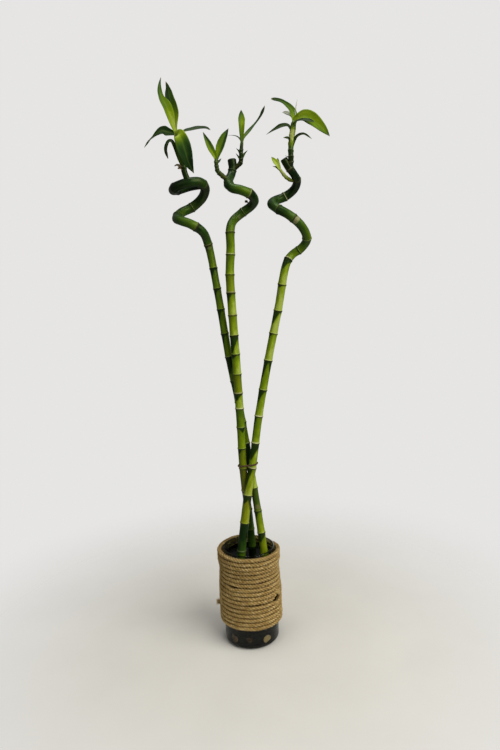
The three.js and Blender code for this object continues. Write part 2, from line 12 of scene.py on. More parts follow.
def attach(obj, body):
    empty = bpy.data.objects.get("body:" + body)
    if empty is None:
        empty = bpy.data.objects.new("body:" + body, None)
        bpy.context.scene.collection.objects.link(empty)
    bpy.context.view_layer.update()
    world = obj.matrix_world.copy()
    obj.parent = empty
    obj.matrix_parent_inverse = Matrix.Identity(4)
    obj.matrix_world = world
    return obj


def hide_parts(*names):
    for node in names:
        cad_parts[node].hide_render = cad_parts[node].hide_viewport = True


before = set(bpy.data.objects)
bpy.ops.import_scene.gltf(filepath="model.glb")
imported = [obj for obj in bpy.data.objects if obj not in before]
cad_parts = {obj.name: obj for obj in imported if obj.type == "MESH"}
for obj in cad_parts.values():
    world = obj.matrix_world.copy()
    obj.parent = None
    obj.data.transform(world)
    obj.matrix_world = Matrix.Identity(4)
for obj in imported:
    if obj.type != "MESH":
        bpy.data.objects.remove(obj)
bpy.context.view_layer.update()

# All sizes are millimetres until a mesh is made
MM = 0.001

# How finely stems are divided, and how far from a leaf scar the finer rings go
CANE = {"sides": 32, "step": 1.4, "fine": 1.5}
SHOOT = {"sides": 20, "step": 0.6, "fine": 0.9}
# The finer rings round a leaf scar, as shares of that reach, and where the plain ones begin
FINE_RINGS = np.array([-1.6, -1.1, -0.8, -0.55, -0.35, -0.15, 0, 0.15, 0.35, 0.55, 0.8, 1.1, 1.6])
PLAIN_FROM = 1.7

# The canes repeat the part's own lines: the points of the straight run, the heights of the spiral
# at each eighth of a turn from the angle "from", the end, and the radii and the leaf scars by the
# distance along the cane. "tones" is the green of each stretch between two scars from the foot up,
# from 0 dark to 1 pale yellow-green, and "olive" gives some stretches a brown tinge. "patches" are
# dark marks hanging from a scar: scar number, side (-1 left to 1 right, as seen from the front),
# length, half width in degrees, and the height of the part that goes round. Scars up to
# "straight_to" get one more of them at the back. "lips" are scars with a pale line and "browned"
# those with a dry brown edge. "marks" are old scars in the skin: distance, side, half length, half
# width in degrees, how pale and how brown. "cap" is how pale the cut end is.
CANES = {
    "left": {
        "stem": [(20.7, -8, 52), (18.3, -4.6, 107), (12.8, 0.6, 160), (5.9, 5.6, 215), (-3.2, 9.7, 284),
                 (-12.4, 10.6, 341), (-22.1, 11.6, 420)],
        "spiral": {
            "from": 0, "radius": (16.4, 17.9), "axis": ((-46.2, 12), (-47.5, 12)),
            "heights": [470, 482, 490, 495, 499, 506.5, 512.5, 521, 529.5, 534.5, 533.5, 531, 529.5, 532,
                        536, 536.5],
        },
        "end": [], "straight_to": 440,
        "radii": [(0, 4.6), (60, 4.5), (120, 4.1), (400, 4.2), (445, 5), (500, 5.3), (600, 5.2)],
        "scars": [53, 80, 106, 134, 158, 188, 213, 238, 263, 292, 319, 347, 371, 394, 421, 449, 488, 512,
                  552, 590, 612],
        "tones": [0.2, 0.74, 0.8, 0.42, 0.86, 0.32, 0.62, 0.62, 0.52, 0.54, 0.62, 0.6, 0.62, 0.56, 0.62,
                  0.32, 0.45, 0.42, 0.24, 0.14, 0.14, 0.12],
        "olive": {0: 0.4, 1: 0.3, 2: 0.15, 3: 0.2, 18: 0.1},
        "patches": [(1, -0.5, 7, 80, 4), (2, -0.9, 9, 70, 1.5), (5, 0, 10, 120, 9), (9, -0.5, 14, 100, 5),
                    (10, -0.9, 16, 60, 2), (11, -0.9, 14, 60, 3), (12, -0.9, 10, 60, 2.5),
                    (13, -0.8, 8, 70, 3), (14, -0.8, 6, 60, 2), (15, 0, 3, 90, 2)],
        "lips": {1: 0.12, 5: 0.5, 9: 0.2, 14: 0.2, 17: 0.25},
        "browned": {14: 0.45, 15: 0.3, 17: 0.2, 18: 0.25},
        "marks": [(417, 0.1, 1.6, 40, 0.2, 0.3), (573, 0, 0.3, 70, 0.3, 0.2),
                  (111.5, 0.1, 2.6, 42, 0.25, 0.5), (560, 0, 3, 60, 0, 0.12)],
        "cap": 0.3,
    },
    "middle": {
        "stem": [(6, 21, 52), (4.3, 18.9, 108), (2.3, 11.8, 148), (-0.4, 4.8, 182), (-2, -0.5, 215),
                 (-2.4, -0.7, 260), (-3.6, -0.5, 321), (-5.4, -0.2, 380), (-6.4, 0, 434), (-4.2, 0, 462)],
        "spiral": {
            "from": 180, "radius": (13.8, 13.8), "axis": ((10.4, 0), (10.4, 0)),
            "heights": [484, 494, 502, 508, 512.5, 518, 522, 525.5, 533.5, 544],
        },
        "end": [(2, 11, 551), (1.6, 11.4, 558.3)], "straight_to": 460,
        "radii": [(0, 4.4), (150, 4.4), (300, 4.7), (430, 4.8), (500, 5.1), (540, 5), (551, 4.4),
                  (557, 4.2), (561, 4.8), (600, 4.9)],
        "scars": [50, 78, 105, 132, 161, 185, 210, 232, 250, 272, 295, 316, 339, 364, 384, 406, 430, 464,
                  501, 530, 554],
        "tones": [0.35, 0.38, 0.36, 0.4, 0.62, 0.7, 0.76, 0.62, 0.85, 0.74, 0.84, 0.8, 0.84, 0.86, 0.78,
                  0.78, 0.7, 0.52, 0.3, 0.42, 0.25, -0.08],
        "olive": {3: 0.4, 4: 0.55, 5: 0.25, 9: 0.25, 12: 0.1, 14: 0.2},
        "patches": [(13, -0.85, 10, 80, 1.5), (11, -0.8, 17, 110, 4), (10, -0.7, 4, 60, 1.2),
                    (9, 0.95, 5, 40, 0), (8, -0.55, 7, 80, 1.5), (6, 0.45, 6, 50, 0.8),
                    (5, -0.9, 7, 70, 1.2), (3, 0.9, 20, 90, 2), (18, 0, 3, 120, 2), (20, 0, 6, 180, 4)],
        "lips": {3: 0.35, 7: 0.9, 8: 0.6, 13: 0.45, 15: 0.5, 16: 0.1, 17: 0.2, 18: 0.25},
        "browned": {4: 0.3, 8: 0.35, 11: 0.2, 12: 0.5, 13: 0.5, 14: 0.2, 16: 0.3},
        "marks": [(128, -0.6, 1.3, 40, 0.8, 0.2), (455, 0.9, 2, 45, 0.25, 0.4)],
        "cap": 0.1,
    },
    "right": {
        "stem": [(-15.5, -12, 52), (-8.6, -9.8, 110), (-3, -7.9, 147), (3.2, -5.6, 185), (9.3, -4.4, 214),
                 (18.8, -5, 272), (32.4, -6.1, 337), (45.5, -7.1, 393), (56.9, -8, 443.8),
                 (63.5, -5, 452.5), (73, -5.5, 458.5)],
        "spiral": {
            "from": 0, "radius": (18.3, 13.9), "axis": ((60.8, -12), (56.4, -12)),
            "heights": [467, 479.5, 491.5, 500, 506.5, 511.5, 515.5, 521.5, 528.5, 535],
        },
        "end": [(60.5, -25.2, 542), (56.6, -26, 548.5)], "straight_to": 420,
        "radii": [(0, 5), (100, 4.9), (170, 4.4), (400, 4.4), (440, 4.7), (520, 4.9), (545, 4.5),
                  (560, 4.1), (585, 3.9)],
        "scars": [30, 62, 96, 129, 162, 192, 224, 255, 289, 320, 346, 375, 403, 419, 437, 468, 486, 530,
                  558, 574],
        "tones": [0.3, 0.6, 0.24, 0.78, 0.88, 0.84, 0.78, 0.82, 0.78, 0.92, 0.95, 0.94, 0.86, 0.72, 0.5,
                  0.46, 0.34, 0.32, 0.1, 0.02, -0.06],
        "olive": {3: 0.4, 4: 0.2, 20: 0.2},
        "patches": [(12, -0.6, 9, 80, 2.5), (11, -0.6, 3, 50, 0.4), (10, -0.8, 13, 80, 3),
                    (9, -0.9, 5, 50, 0.8), (8, -0.9, 24, 60, 3), (8, 0.9, 15, 50, 3),
                    (7, -0.9, 15, 90, 1.5), (6, -0.95, 24, 40, 0.8), (5, -0.7, 14, 90, 7),
                    (4, -0.95, 30, 80, 0.5), (3, 0.9, 15, 60, 3), (3, -0.6, 7, 70, 3), (2, 0, 13, 130, 9),
                    (13, 0, 1.5, 60, 0.3)],
        "lips": {0: 0, 2: 0.05, 3: 0.3, 4: 0.9, 5: 1.0, 6: 1.0, 7: 0.2, 8: 0.35, 9: 0.2, 12: 0.75,
                 14: 0.2, 17: 0.8},
        "browned": {4: 0.3, 9: 0.15, 10: 0.2, 11: 0.4, 16: 0.1, 18: 0.15, 19: 0.15},
        "marks": [(464.5, 0.2, 2.3, 70, 0.6, 0.4), (558, 1, 2, 30, 0.2, 0.2),
                  (366, -0.8, 4, 25, 0.4, 0.5)],
        "cap": 0.15,
    },
}

# Each shoot: its stem with the green and the brown along it as pairs of share and value, and its
# blades. A blade has a middle line from root to tip, its full width at shares of its length, the
# way its upper face looks, how deep it is folded as a share of its half width where that isn't
# PLAIN_FOLD, its green from root to tip, and "lean", painted light and shade: how much paler its
# half on the left as seen from the front is, one half of the fold lit and the other shaded. "ashen"
# blades are greyed and "dry" ones dead and brown.
PLAIN_FOLD = 0.3
SHOOTS = {
    "left": {
        "stem": [(-46.1, -5, 534), (-49.8, -7, 545), (-51.5, -7, 562), (-53.6, -7, 577),
                 (-55.4, -6.4, 588)],
        "radii": [(0, 3.3), (20, 3), (60, 2.4)], "scars": [16, 24, 33, 42],
        "greens": [(0, 0.12), (0.3, 0.2), (0.6, 0.25), (0.85, 0.6), (1, 0.9)],
        "browns": [(0, 0.2), (0.1, 0), (1, 0)],
        "blades": [
            {"facing": (0.5, -1, 0.1), "lean": -0.05,
             "widths": [(0, 3), (0.1, 3.6), (0.21, 6.6), (0.35, 9.9), (0.51, 10.4), (0.65, 5.8),
                        (0.75, 5), (0.88, 2.4), (1, 0.3)],
             "greens": [(0, 0.96), (0.2, 0.96), (0.36, 0.88), (0.48, 0.68), (0.65, 0.55), (0.8, 0.36),
                        (1, 0.2)],
             "path": [(-56, -6, 583), (-58.5, -6.4, 589.7), (-61.9, -10.5, 603.8), (-64.4, -12.5, 611.8),
                      (-68.5, -13, 618.8), (-70.4, -11.5, 625.7), (-70.4, -9, 633.8),
                      (-68.9, -6, 641.8)]},
            {"facing": (-0.2, -1, 0.2), "fold": 0.35, "lean": -0.18,
             "widths": [(0, 3), (0.12, 4.2), (0.24, 6.6), (0.39, 9.9), (0.54, 10.9), (0.69, 9.4),
                        (0.8, 7.6), (0.88, 4.4), (0.95, 2.6), (1, 0.3)],
             "greens": [(0, 0.95), (0.2, 0.8), (0.35, 0.62), (0.55, 0.35), (1, 0.15)],
             "path": [(-55.4, -5.6, 583), (-56.8, -5, 590.3), (-57, -2.5, 605.9), (-61.4, 1, 623.1),
                      (-63.3, 3.4, 634.8), (-65.2, 4, 640.8)]},
            {"facing": (-0.1, -1, 0.15), "fold": 0.25,
             "widths": [(0, 2.5), (0.15, 6.6), (0.3, 10.6), (0.46, 6.6), (0.63, 2.4), (0.74, 1.2),
                        (0.86, 2), (1, 0.3)],
             "greens": [(0, 0.3), (0.1, 0.22), (1, 0.13)],
             "path": [(-55.6, -6, 584), (-65, -8, 586.2), (-70.7, -10.5, 586.8), (-75.8, -12, 584.2),
                      (-80.7, -13, 580.2), (-83.9, -14, 577.2), (-89.9, -15, 569.5)]},
            {"facing": (0, -0.7, 1), "ashen": 0.08,
             "widths": [(0, 1.4), (0.15, 3.2), (0.3, 7), (0.45, 7), (0.65, 9.2), (0.85, 7.6), (0.95, 3.2),
                        (1, 0.3)],
             "greens": [(0, 0.35), (0.2, 0.22), (1, 0.1)],
             "path": [(-54.6, -5.4, 585.5), (-49.9, -4, 586.9), (-40.6, 2, 589.8), (-29.8, 6, 592.2),
                      (-24.2, 8, 592.3), (-20.2, 9, 590.6)]},
            {"facing": (-0.15, -1, 0.15), "fold": 0.16, "lean": 0.03,
             "widths": [(0, 5), (0.08, 9), (0.17, 12.5), (0.33, 15), (0.46, 15.8), (0.64, 14.2),
                        (0.78, 11), (0.9, 5), (1, 0.3)],
             "greens": [(0, 0.98), (0.2, 0.94), (0.3, 0.66), (0.42, 0.38), (0.55, 0.24), (1, 0.13)],
             "path": [(-55.6, -6.4, 580.4), (-55.3, -7.6, 582.2), (-52.9, -12, 582.4), (-50.2, -17, 576),
                      (-45.9, -21, 561), (-43.9, -21.5, 552.5), (-38.7, -20, 540.3)]},
            {"facing": (-0.3, -1, 0.1),
             "widths": [(0, 3), (0.2, 4.4), (0.45, 4), (0.6, 3.2), (0.75, 4), (0.9, 3), (1, 0.6)],
             "greens": [(0, 0.6), (0.25, 0.4), (0.42, 0.18), (0.55, 0.04), (1, 0)],
             "path": [(-50.9, -7.4, 549), (-53.7, -11, 557.7), (-58.1, -14.5, 570.9), (-60.4, -15, 575.1),
                      (-63.3, -15.5, 575.2), (-65.8, -16, 571.4), (-67.2, -15.5, 565.9),
                      (-65.6, -14.5, 557.4)]},
            {"facing": (0, -1, 0.3), "dry": 0.5,
             "widths": [(0, 2.8), (0.5, 3.2), (1, 0.8)], "greens": [(0, 0.2), (1, 0.02)],
             "path": [(-50.4, -7.4, 548.4), (-54.2, -10.5, 550.2), (-56.7, -11.5, 551.2),
                      (-59.7, -11.5, 550.2)]},
            {"facing": (0, -1, 0.3), "fold": 0.4, "dry": 1,
             "widths": [(0, 2.4), (0.6, 3.8), (1, 1)], "greens": [(0, 0.2), (1, 0.2)],
             "path": [(-50.4, -7.4, 546.6), (-53.9, -10.5, 548.2), (-56.3, -11, 547.4)]},
        ],
    },
    "middle_left": {
        "stem": [(-4, 0, 536), (-9.5, -2.4, 540), (-14, -4, 544.5), (-15, -5, 550), (-15.2, -5, 559)],
        "radii": [(0, 2.7), (8, 2.4), (30, 1.9)], "scars": [8, 12, 16, 20, 24],
        "greens": [(0, 0.3), (0.3, 0.3), (0.7, 0.25), (1, 0.5)],
        "browns": [(0, 0.5), (0.2, 0.4), (0.4, 0.15), (1, 0)],
        "blades": [
            {"facing": (0.3, -1, 0.2), "fold": 0.35, "lean": 0.12,
             "widths": [(0, 2.4), (0.15, 4), (0.3, 6.2), (0.46, 7.4), (0.63, 6.4), (0.79, 4.2), (0.92, 2),
                        (1, 0.3)],
             "greens": [(0, 0.85), (0.4, 0.74), (0.7, 0.5), (0.9, 0.2), (1, 0.1)],
             "path": [(-15.2, -5, 552.5), (-15.6, -5.2, 557.5), (-20, -9.5, 566.7), (-24.6, -11.3, 576.7),
                      (-27.3, -10.5, 583.8)]},
            {"facing": (-0.5, -1, 0.1), "fold": 0.35, "lean": 0.14,
             "widths": [(0, 2.4), (0.13, 3.6), (0.27, 7), (0.45, 10.4), (0.6, 10.8), (0.76, 7.8),
                        (0.89, 3.8), (1, 0.3)],
             "greens": [(0, 0.9), (0.25, 0.72), (0.55, 0.5), (0.8, 0.35), (0.92, 0.12), (1, 0.08)],
             "path": [(-14.9, -4.9, 552.5), (-14, -5, 556.5), (-9.7, -3.4, 569), (-5.1, -1, 580.3),
                      (-0.4, 2, 589.6)]},
            {"facing": (0, -1, 0.3), "ashen": 0.4,
             "widths": [(0, 2.4), (0.5, 2.6), (1, 0.3)], "greens": [(0, 0.3), (1, 0.2)],
             "path": [(-15, -5, 552), (-11.8, -6.4, 554.4), (-9.4, -7, 557)]},
        ],
    },
    "middle_right": {
        "stem": [(1.8, 10.6, 548), (7, 9.6, 551.4), (11, 9, 555), (12, 8, 562), (12.8, 8, 571),
                 (14, 8, 579)],
        "radii": [(0, 2.6), (10, 2.4), (35, 1.7)], "scars": [12, 16.5, 21, 26],
        "greens": [(0, 0.05), (0.5, 0.12), (0.8, 0.16), (1, 0.5)],
        "browns": [(0, 0.25), (0.3, 0.15), (0.42, 0), (1, 0)],
        "blades": [
            {"facing": (0.3, -1, 0), "fold": 0.35, "lean": -0.08,
             "widths": [(0, 3), (0.17, 3.6), (0.34, 5.6), (0.53, 6.7), (0.7, 7.6), (0.85, 5), (0.93, 2.6),
                        (1, 0.3)],
             "greens": [(0, 0.55), (0.3, 0.66), (0.6, 0.78), (0.85, 0.45), (1, 0.2)],
             "path": [(13.4, 8, 574), (13.3, 8, 580.5), (13.7, 6, 592.3), (13.9, 6.4, 598.9),
                      (14.2, 9.8, 610.3)]},
            {"facing": (-0.6, -1, 0.2), "fold": 0.35, "ashen": 0.1,
             "widths": [(0, 2.6), (0.1, 3), (0.18, 4.8), (0.32, 4.9), (0.45, 3.3), (0.58, 2.2),
                        (0.74, 2.5), (0.87, 3.7), (0.94, 2.3), (1, 0.3)],
             "greens": [(0, 0.7), (0.25, 0.55), (0.5, 0.35), (0.75, 0.12), (1, 0.1)],
             "path": [(13.8, 8.1, 576), (15.2, 8.2, 579.8), (22.3, 12.5, 589.1), (31, 14.6, 598.8),
                      (35.4, 15, 604.5), (38, 14.6, 609.2), (40.3, 14, 614.8)]},
            {"facing": (0, -0.4, 1), "fold": 0.4, "ashen": 0.7,
             "widths": [(0, 2.4), (0.4, 1.8), (1, 0.4)], "greens": [(0, 0.3), (1, 0.2)],
             "path": [(13.2, 8.2, 576), (11.3, 8.6, 579.7), (8.7, 11, 582.9), (4.9, 14, 585.1),
                      (-1.5, 18, 586.6)]},
            {"facing": (-0.3, -1, 0.3),
             "widths": [(0, 2.4), (0.5, 2.2), (1, 0.3)], "greens": [(0, 0.12), (1, 0.02)],
             "path": [(12.3, 8, 562), (11.2, 7, 564.2), (9.7, 5.5, 566.6), (7.1, 4.5, 569.2)]},
            {"facing": (-0.3, -1, 0.3),
             "widths": [(0, 2.4), (0.5, 2.2), (1, 0.3)], "greens": [(0, 0.12), (1, 0.02)],
             "path": [(12, 8, 556.6), (10.6, 7, 558.7), (8.7, 5, 561), (6.5, 4, 563.8)]},
            {"facing": (0.3, -1, 0.3),
             "widths": [(0, 2.4), (0.5, 2.6), (1, 0.3)], "greens": [(0, 0.4), (0.6, 0.3), (1, 0.1)],
             "path": [(12, 8, 557.4), (13.1, 8, 559.5), (15.2, 10, 563.8), (19.3, 11, 568.1)]},
        ],
    },
    "right_top": {
        "stem": [(62.4, -24.4, 538), (63.4, -27.4, 546), (63.6, -28.6, 556), (64.4, -28, 566),
                 (66.2, -27, 576), (68.2, -26, 588)],
        "radii": [(0, 2.9), (18, 2.7), (30, 2.8), (42, 3.1), (52, 2.3)], "scars": [9, 14, 20, 27, 35],
        "greens": [(0, 0.04), (0.3, 0.1), (0.4, 0.3), (0.5, 0.7), (0.6, 0.95), (0.78, 0.92), (0.88, 0.4),
                   (1, 0.6)],
        "browns": [(0, 0.25), (0.2, 0.1), (0.35, 0), (1, 0)],
        "blades": [
            {"facing": (0.1, -1, 0.4),
             "widths": [(0, 3.4), (0.06, 5), (0.16, 6.3), (0.27, 7.6), (0.38, 7.2), (0.52, 6.3),
                        (0.66, 4.3), (0.79, 3.9), (0.92, 3.9), (0.98, 2.2), (1, 0.8)],
             "greens": [(0, 0.8), (0.25, 0.68), (0.5, 0.5), (0.75, 0.35), (0.9, 0.2), (1, 0.1)],
             "path": [(68, -26.2, 583), (68.7, -26, 587.3), (67.6, -22, 596.6), (65.5, -20.4, 600.7),
                      (58.2, -18, 608), (54, -17.6, 610.1), (45.6, -19, 611.4)]},
            {"facing": (0, -0.8, 0.5), "ashen": 0.8,
             "widths": [(0, 2), (0.4, 4.6), (0.75, 5.4), (0.93, 3.2), (1, 0.5)],
             "greens": [(0, 0.7), (1, 0.75)],
             "path": [(67.4, -26, 584), (67.6, -25, 589.2), (65.8, -19, 594.1), (60.6, -10, 599.7),
                      (58, -6, 601.4)]},
            {"facing": (-0.2, -1, 0.3), "fold": 0.28, "lean": -0.05,
             "widths": [(0, 3.4), (0.07, 4.4), (0.17, 7.6), (0.27, 11.8), (0.38, 13.2), (0.5, 13.4),
                        (0.63, 11.8), (0.77, 8.8), (0.89, 4.9), (1, 0.3)],
             "greens": [(0, 0.9), (0.3, 0.84), (0.6, 0.74), (0.85, 0.66), (0.93, 0.5), (1, 0.2)],
             "path": [(68.2, -26.2, 584), (69.4, -26.6, 588.1), (78.3, -32.5, 589.7), (87, -36, 583.6),
                      (96, -36.6, 575.5), (103.4, -35, 567.9)]},
            {"facing": (0, -0.8, 0.6), "ashen": 0.15,
             "widths": [(0, 2), (0.25, 3), (0.5, 3.8), (0.75, 4.8), (0.93, 2.2), (1, 0.3)],
             "greens": [(0, 0.4), (0.3, 0.2), (1, 0.15)],
             "path": [(67.2, -28, 583.2), (69, -31.5, 584.5), (75, -36, 584.6), (81, -39, 583.2),
                      (87.5, -40.8, 580.8)]},
            {"facing": (0, -1, 0.5), "fold": 0.35,
             "widths": [(0, 2), (0.13, 1.8), (0.24, 2.6), (0.34, 4), (0.46, 4.6), (0.58, 4.6),
                        (0.71, 3.1), (0.84, 1.8), (1, 0.3)],
             "greens": [(0, 0.4), (0.2, 0.15), (0.35, 0.06), (0.6, 0.1), (0.8, 0.14), (1, 0.35)],
             "path": [(65.2, -27.2, 571), (65.1, -27.6, 575.5), (61.6, -30, 581.1), (54.5, -32.4, 580.6),
                      (47.1, -33.4, 577.3), (38.9, -33, 572.8)]},
            {"facing": (0, -1, 0.5), "fold": 0.35,
             "widths": [(0, 2.4), (0.2, 2.4), (0.4, 3.2), (0.55, 3), (0.72, 2.4), (0.85, 2), (1, 0.3)],
             "greens": [(0, 0.6), (0.25, 0.4), (0.45, 0.1), (0.6, 0.02), (0.8, 0.15), (1, 0.5)],
             "path": [(64.3, -28, 557), (65.4, -28.2, 560.2), (69.7, -30, 569.8), (76.7, -31.4, 572.3),
                      (85.5, -30, 567.3)]},
            {"facing": (0, -1, 0.5),
             "widths": [(0, 3), (0.35, 4.6), (0.65, 3.6), (0.85, 2), (1, 0.4)],
             "greens": [(0, 0.12), (0.5, 0.02), (1, 0.05)],
             "path": [(64, -28.2, 559), (62.8, -30, 566.3), (60.8, -32, 568.5), (56, -33.5, 568.9)]},
            {"facing": (0, -0.7, 1),
             "widths": [(0, 2.4), (0.5, 2), (1, 0.3)], "greens": [(0, 0.1), (1, 0.02)],
             "path": [(63.4, -28.2, 547.6), (61.4, -29.4, 549.8), (57.3, -32, 551.5)]},
            {"facing": (0.3, -1, 0), "fold": 0.4, "ashen": 1,
             "widths": [(0, 2), (0.5, 1.6), (1, 0.3)], "greens": [(0, 0.7), (1, 0.9)],
             "path": [(69, -25.6, 585.4), (70.2, -25, 590.5), (70.5, -21, 599.1), (73, -17, 610.4)]},
        ],
    },
    "right_small": {
        "stem": [(69, -13, 529.4), (63, -20, 529), (58.4, -23, 531.4), (54.4, -25.4, 535.6),
                 (50.4, -26, 541.6)],
        "radii": [(0, 1.9), (30, 1.5)], "scars": [12, 16, 20],
        "greens": [(0, 0.5), (0.35, 0.75), (0.6, 0.92), (1, 1)],
        "browns": [(0, 0.8), (0.4, 0.5), (0.55, 0.1), (1, 0)],
        "blades": [
            {"facing": (0.3, -1, 0.2), "fold": 0.35,
             "widths": [(0, 2.4), (0.3, 5.2), (0.6, 5.8), (0.85, 3.4), (1, 0.3)],
             "greens": [(0, 1), (0.7, 0.98), (1, 0.8)],
             "path": [(51.6, -26, 538.9), (49.6, -27.4, 543.1), (43.3, -28, 551.5)]},
            {"facing": (0, -1, 0.2), "fold": 0.35,
             "widths": [(0, 2), (0.4, 3.4), (0.75, 2.8), (1, 0.3)],
             "greens": [(0, 0.98), (0.6, 0.8), (1, 0.5)],
             "path": [(51.4, -25.6, 540), (50.2, -24.4, 545.8), (50, -23, 551.5)]},
            {"facing": (0, -1, 0.7),
             "widths": [(0, 2), (0.5, 2.6), (1, 0.3)], "greens": [(0, 0.5), (1, 0.1)],
             "path": [(52, -25.8, 537.8), (47.4, -28, 541.2), (44.2, -29, 541.9)]},
        ],
    },
}


def unit(vectors):
    """Vectors brought to length one."""
    return vectors / np.linalg.norm(vectors, axis=-1, keepdims=True)


def smooth(values, low=0.0, high=1.0):
    """Goes softly from 0 at low to 1 at high."""
    share = np.clip((values - low) / (high - low), 0, 1)
    return share * share * (3 - 2 * share)


def bell(distance, reach):
    """One at no distance, falling softly towards nothing beyond the reach."""
    return np.exp(-((distance / reach) ** 2))


def round_axis(angle, reach=1.0, height=0.0):
    """A place round the jar's axis, or the way straight out of it where only the angle is given."""
    return np.array([reach * math.cos(angle), reach * math.sin(angle), height])


def read_pairs(pairs, places):
    """Values at some places from a list of (place, value) pairs."""
    return np.interp(places, [place for place, _ in pairs], [value for _, value in pairs])


class Line:
    """A smooth line through given points, read by the distance along it."""

    # Steps between two set points, and how far to each side the direction is taken
    PER_SPAN = 40
    REACH = 0.4

    def __init__(self, points):
        points = np.array(points, float)
        points = np.vstack([2 * points[0] - points[1], points, 2 * points[-1] - points[-2]])
        share = np.linspace(0, 1, self.PER_SPAN, endpoint=False)[:, None]
        spans = []
        for a, b, c, d in zip(points, points[1:], points[2:], points[3:]):
            before, here, after = (np.linalg.norm(q - p) ** 0.5 for p, q in ((a, b), (b, c), (c, d)))
            leave = here * ((b - a) / before - (c - a) / (before + here) + (c - b) / here)
            arrive = here * ((c - b) / here - (d - b) / (here + after) + (d - c) / after)
            square = 3 * (c - b) - 2 * leave - arrive
            cube = 2 * (b - c) + leave + arrive
            spans.append(b + leave * share + square * share**2 + cube * share**3)
        self.points = np.vstack([*spans, points[-2:-1]])
        steps = np.linalg.norm(np.diff(self.points, axis=0), axis=1)
        self.distances = np.concatenate([[0], np.cumsum(steps)])
        self.length = self.distances[-1]

    def at(self, places):
        return np.stack([np.interp(places, self.distances, self.points[:, k]) for k in range(3)], -1)

    def direction(self, places):
        low = np.clip(places - self.REACH, 0, self.length)
        high = np.clip(places + self.REACH, 0, self.length)
        return unit(self.at(high) - self.at(low))


def cane_line(cane):
    """The straight run, the spiral worked out eighth by eighth of a turn, then the end."""
    points = list(cane["stem"])
    spiral = cane["spiral"]
    heights = spiral["heights"]
    for eighth, height in enumerate(heights):
        angle = math.radians(spiral["from"] + 45 * eighth)
        blend = float(smooth(eighth, 0, len(heights) - 1))
        reach = spiral["radius"][0] + blend * (spiral["radius"][1] - spiral["radius"][0])
        (x0, y0), (x1, y1) = spiral["axis"]
        middle_x = x0 + blend * (x1 - x0)
        middle_y = y0 + blend * (y1 - y0)
        points.append((middle_x + reach * math.cos(angle), middle_y - reach * math.sin(angle), height))
    return Line(points + list(cane["end"]))


class Skin:
    """Points, faces and values for each point, gathered for one piece."""

    def __init__(self):
        self.points = []
        self.faces = []
        self.values = {}
        self.count = 0

    def add(self, points, faces, caps=(), **values):
        """Points as rows of x, y, z, faces by the numbers of their points, and a value for each point."""
        points = np.asarray(points, float).reshape(-1, 3)
        for name, value in values.items():
            value = np.asarray(value, float)
            if value.shape[-1:] == (3,) and value.ndim > 1:
                value = value.reshape(-1, 3)
            else:
                value = np.broadcast_to(value.reshape(-1), (len(points),))
            self.values.setdefault(name, []).append(value)
        self.faces.extend((np.asarray(faces) + self.count).tolist())
        self.faces.extend((np.asarray(cap) + self.count).tolist() for cap in caps)
        self.points.append(points)
        self.count += len(points)

    def tube(self, rows, **values):
        """Rows of points that run round a shape, closed with a face at both ends."""
        count, columns = rows.shape[:2]
        row, column = np.meshgrid(np.arange(count - 1), np.arange(columns), indexing="ij")
        here = row * columns
        there = here + columns
        after = (column + 1) % columns
        faces = np.stack([here + column, here + after, there + after, there + column], -1).reshape(-1, 4)
        first = np.arange(columns)[::-1]
        last = (count - 1) * columns + np.arange(columns)
        self.add(rows, faces, [first, last], **values)

    def piece(self, name, material, nodes=()):
        """Makes the object, in metres, and says what it rides on, is made of and replaces."""
        mesh = bpy.data.meshes.new(name)
        mesh.from_pydata((np.vstack(self.points) * MM).tolist(), [], self.faces)
        for label, parts in self.values.items():
            values = np.concatenate(parts)
            wide = values.ndim > 1
            attribute = mesh.attributes.new(label, "FLOAT_VECTOR" if wide else "FLOAT", "POINT")
            attribute.data.foreach_set("vector" if wide else "value", values.astype(np.float32).ravel())
        mesh.shade_smooth()
        mesh.materials.append(material)
        made = bpy.data.objects.new(name, mesh)
        bpy.context.scene.collection.objects.link(made)
        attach(made, "root")
        if nodes:
            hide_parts(*nodes)


def outward(directions, sides):
    """Unit vectors round each point of a line, turned as little as possible from row to row."""
    across = np.cross(directions[0], (0.3, 1, 0.1))
    turns = 2 * np.pi * np.arange(sides) / sides
    rows = np.empty((len(directions), sides, 3))
    for row, direction in enumerate(directions):
        across = across - direction * across.dot(direction)
        across /= np.linalg.norm(across)
        aside = np.cross(direction, across)
        rows[row] = np.outer(np.cos(turns), across) + np.outer(np.sin(turns), aside)
    return rows


def roll_coordinates(places, radius, sides):
    """Texture coordinates that follow a stem: round it, and along it."""
    turns = 2 * np.pi * np.arange(sides) / sides
    shape = (len(places), sides)
    x = np.broadcast_to(radius * np.cos(turns), shape)
    y = np.broadcast_to(radius * np.sin(turns), shape)
    z = np.broadcast_to(np.asarray(places)[:, None], shape)
    return np.stack([x, y, z], -1) * MM


def stem_places(length, scars, grid):
    """Distances for rings of points, closer together at each leaf scar."""
    fine = [scar + offset for scar in scars for offset in grid["fine"] * FINE_RINGS]
    clear = grid["fine"] * PLAIN_FROM
    plain = [place for place in np.arange(0, length, grid["step"])
             if all(abs(place - scar) > clear for scar in scars)]
    places = np.unique(np.round([*fine, *plain, 0, length], 3))
    return places[(places >= 0) & (places <= length)]


# The soft noises: the width of their waves and a number that makes each its own
RIPPLES = {
    "girth": (9, 1), "tone": (12, 2), "ragged": (2.2, 3), "olive": (8, 4), "shoot": (1.6, 5),
    "rope_height": (1, 11), "rope_out": (1, 12), "rope_lay": (1, 13), "rope_size": (1, 14),
    "rope_height_quick": (1, 15), "rope_out_quick": (1, 16),
}


def ripple(points, size, seed):
    """Soft noise from -1 to 1 at each point."""
    flat = (np.asarray(points, float).reshape(-1, 3) / size + seed * 7.3).tolist()
    return np.array([noise.noise(point) for point in flat]).reshape(np.shape(points)[:-1])


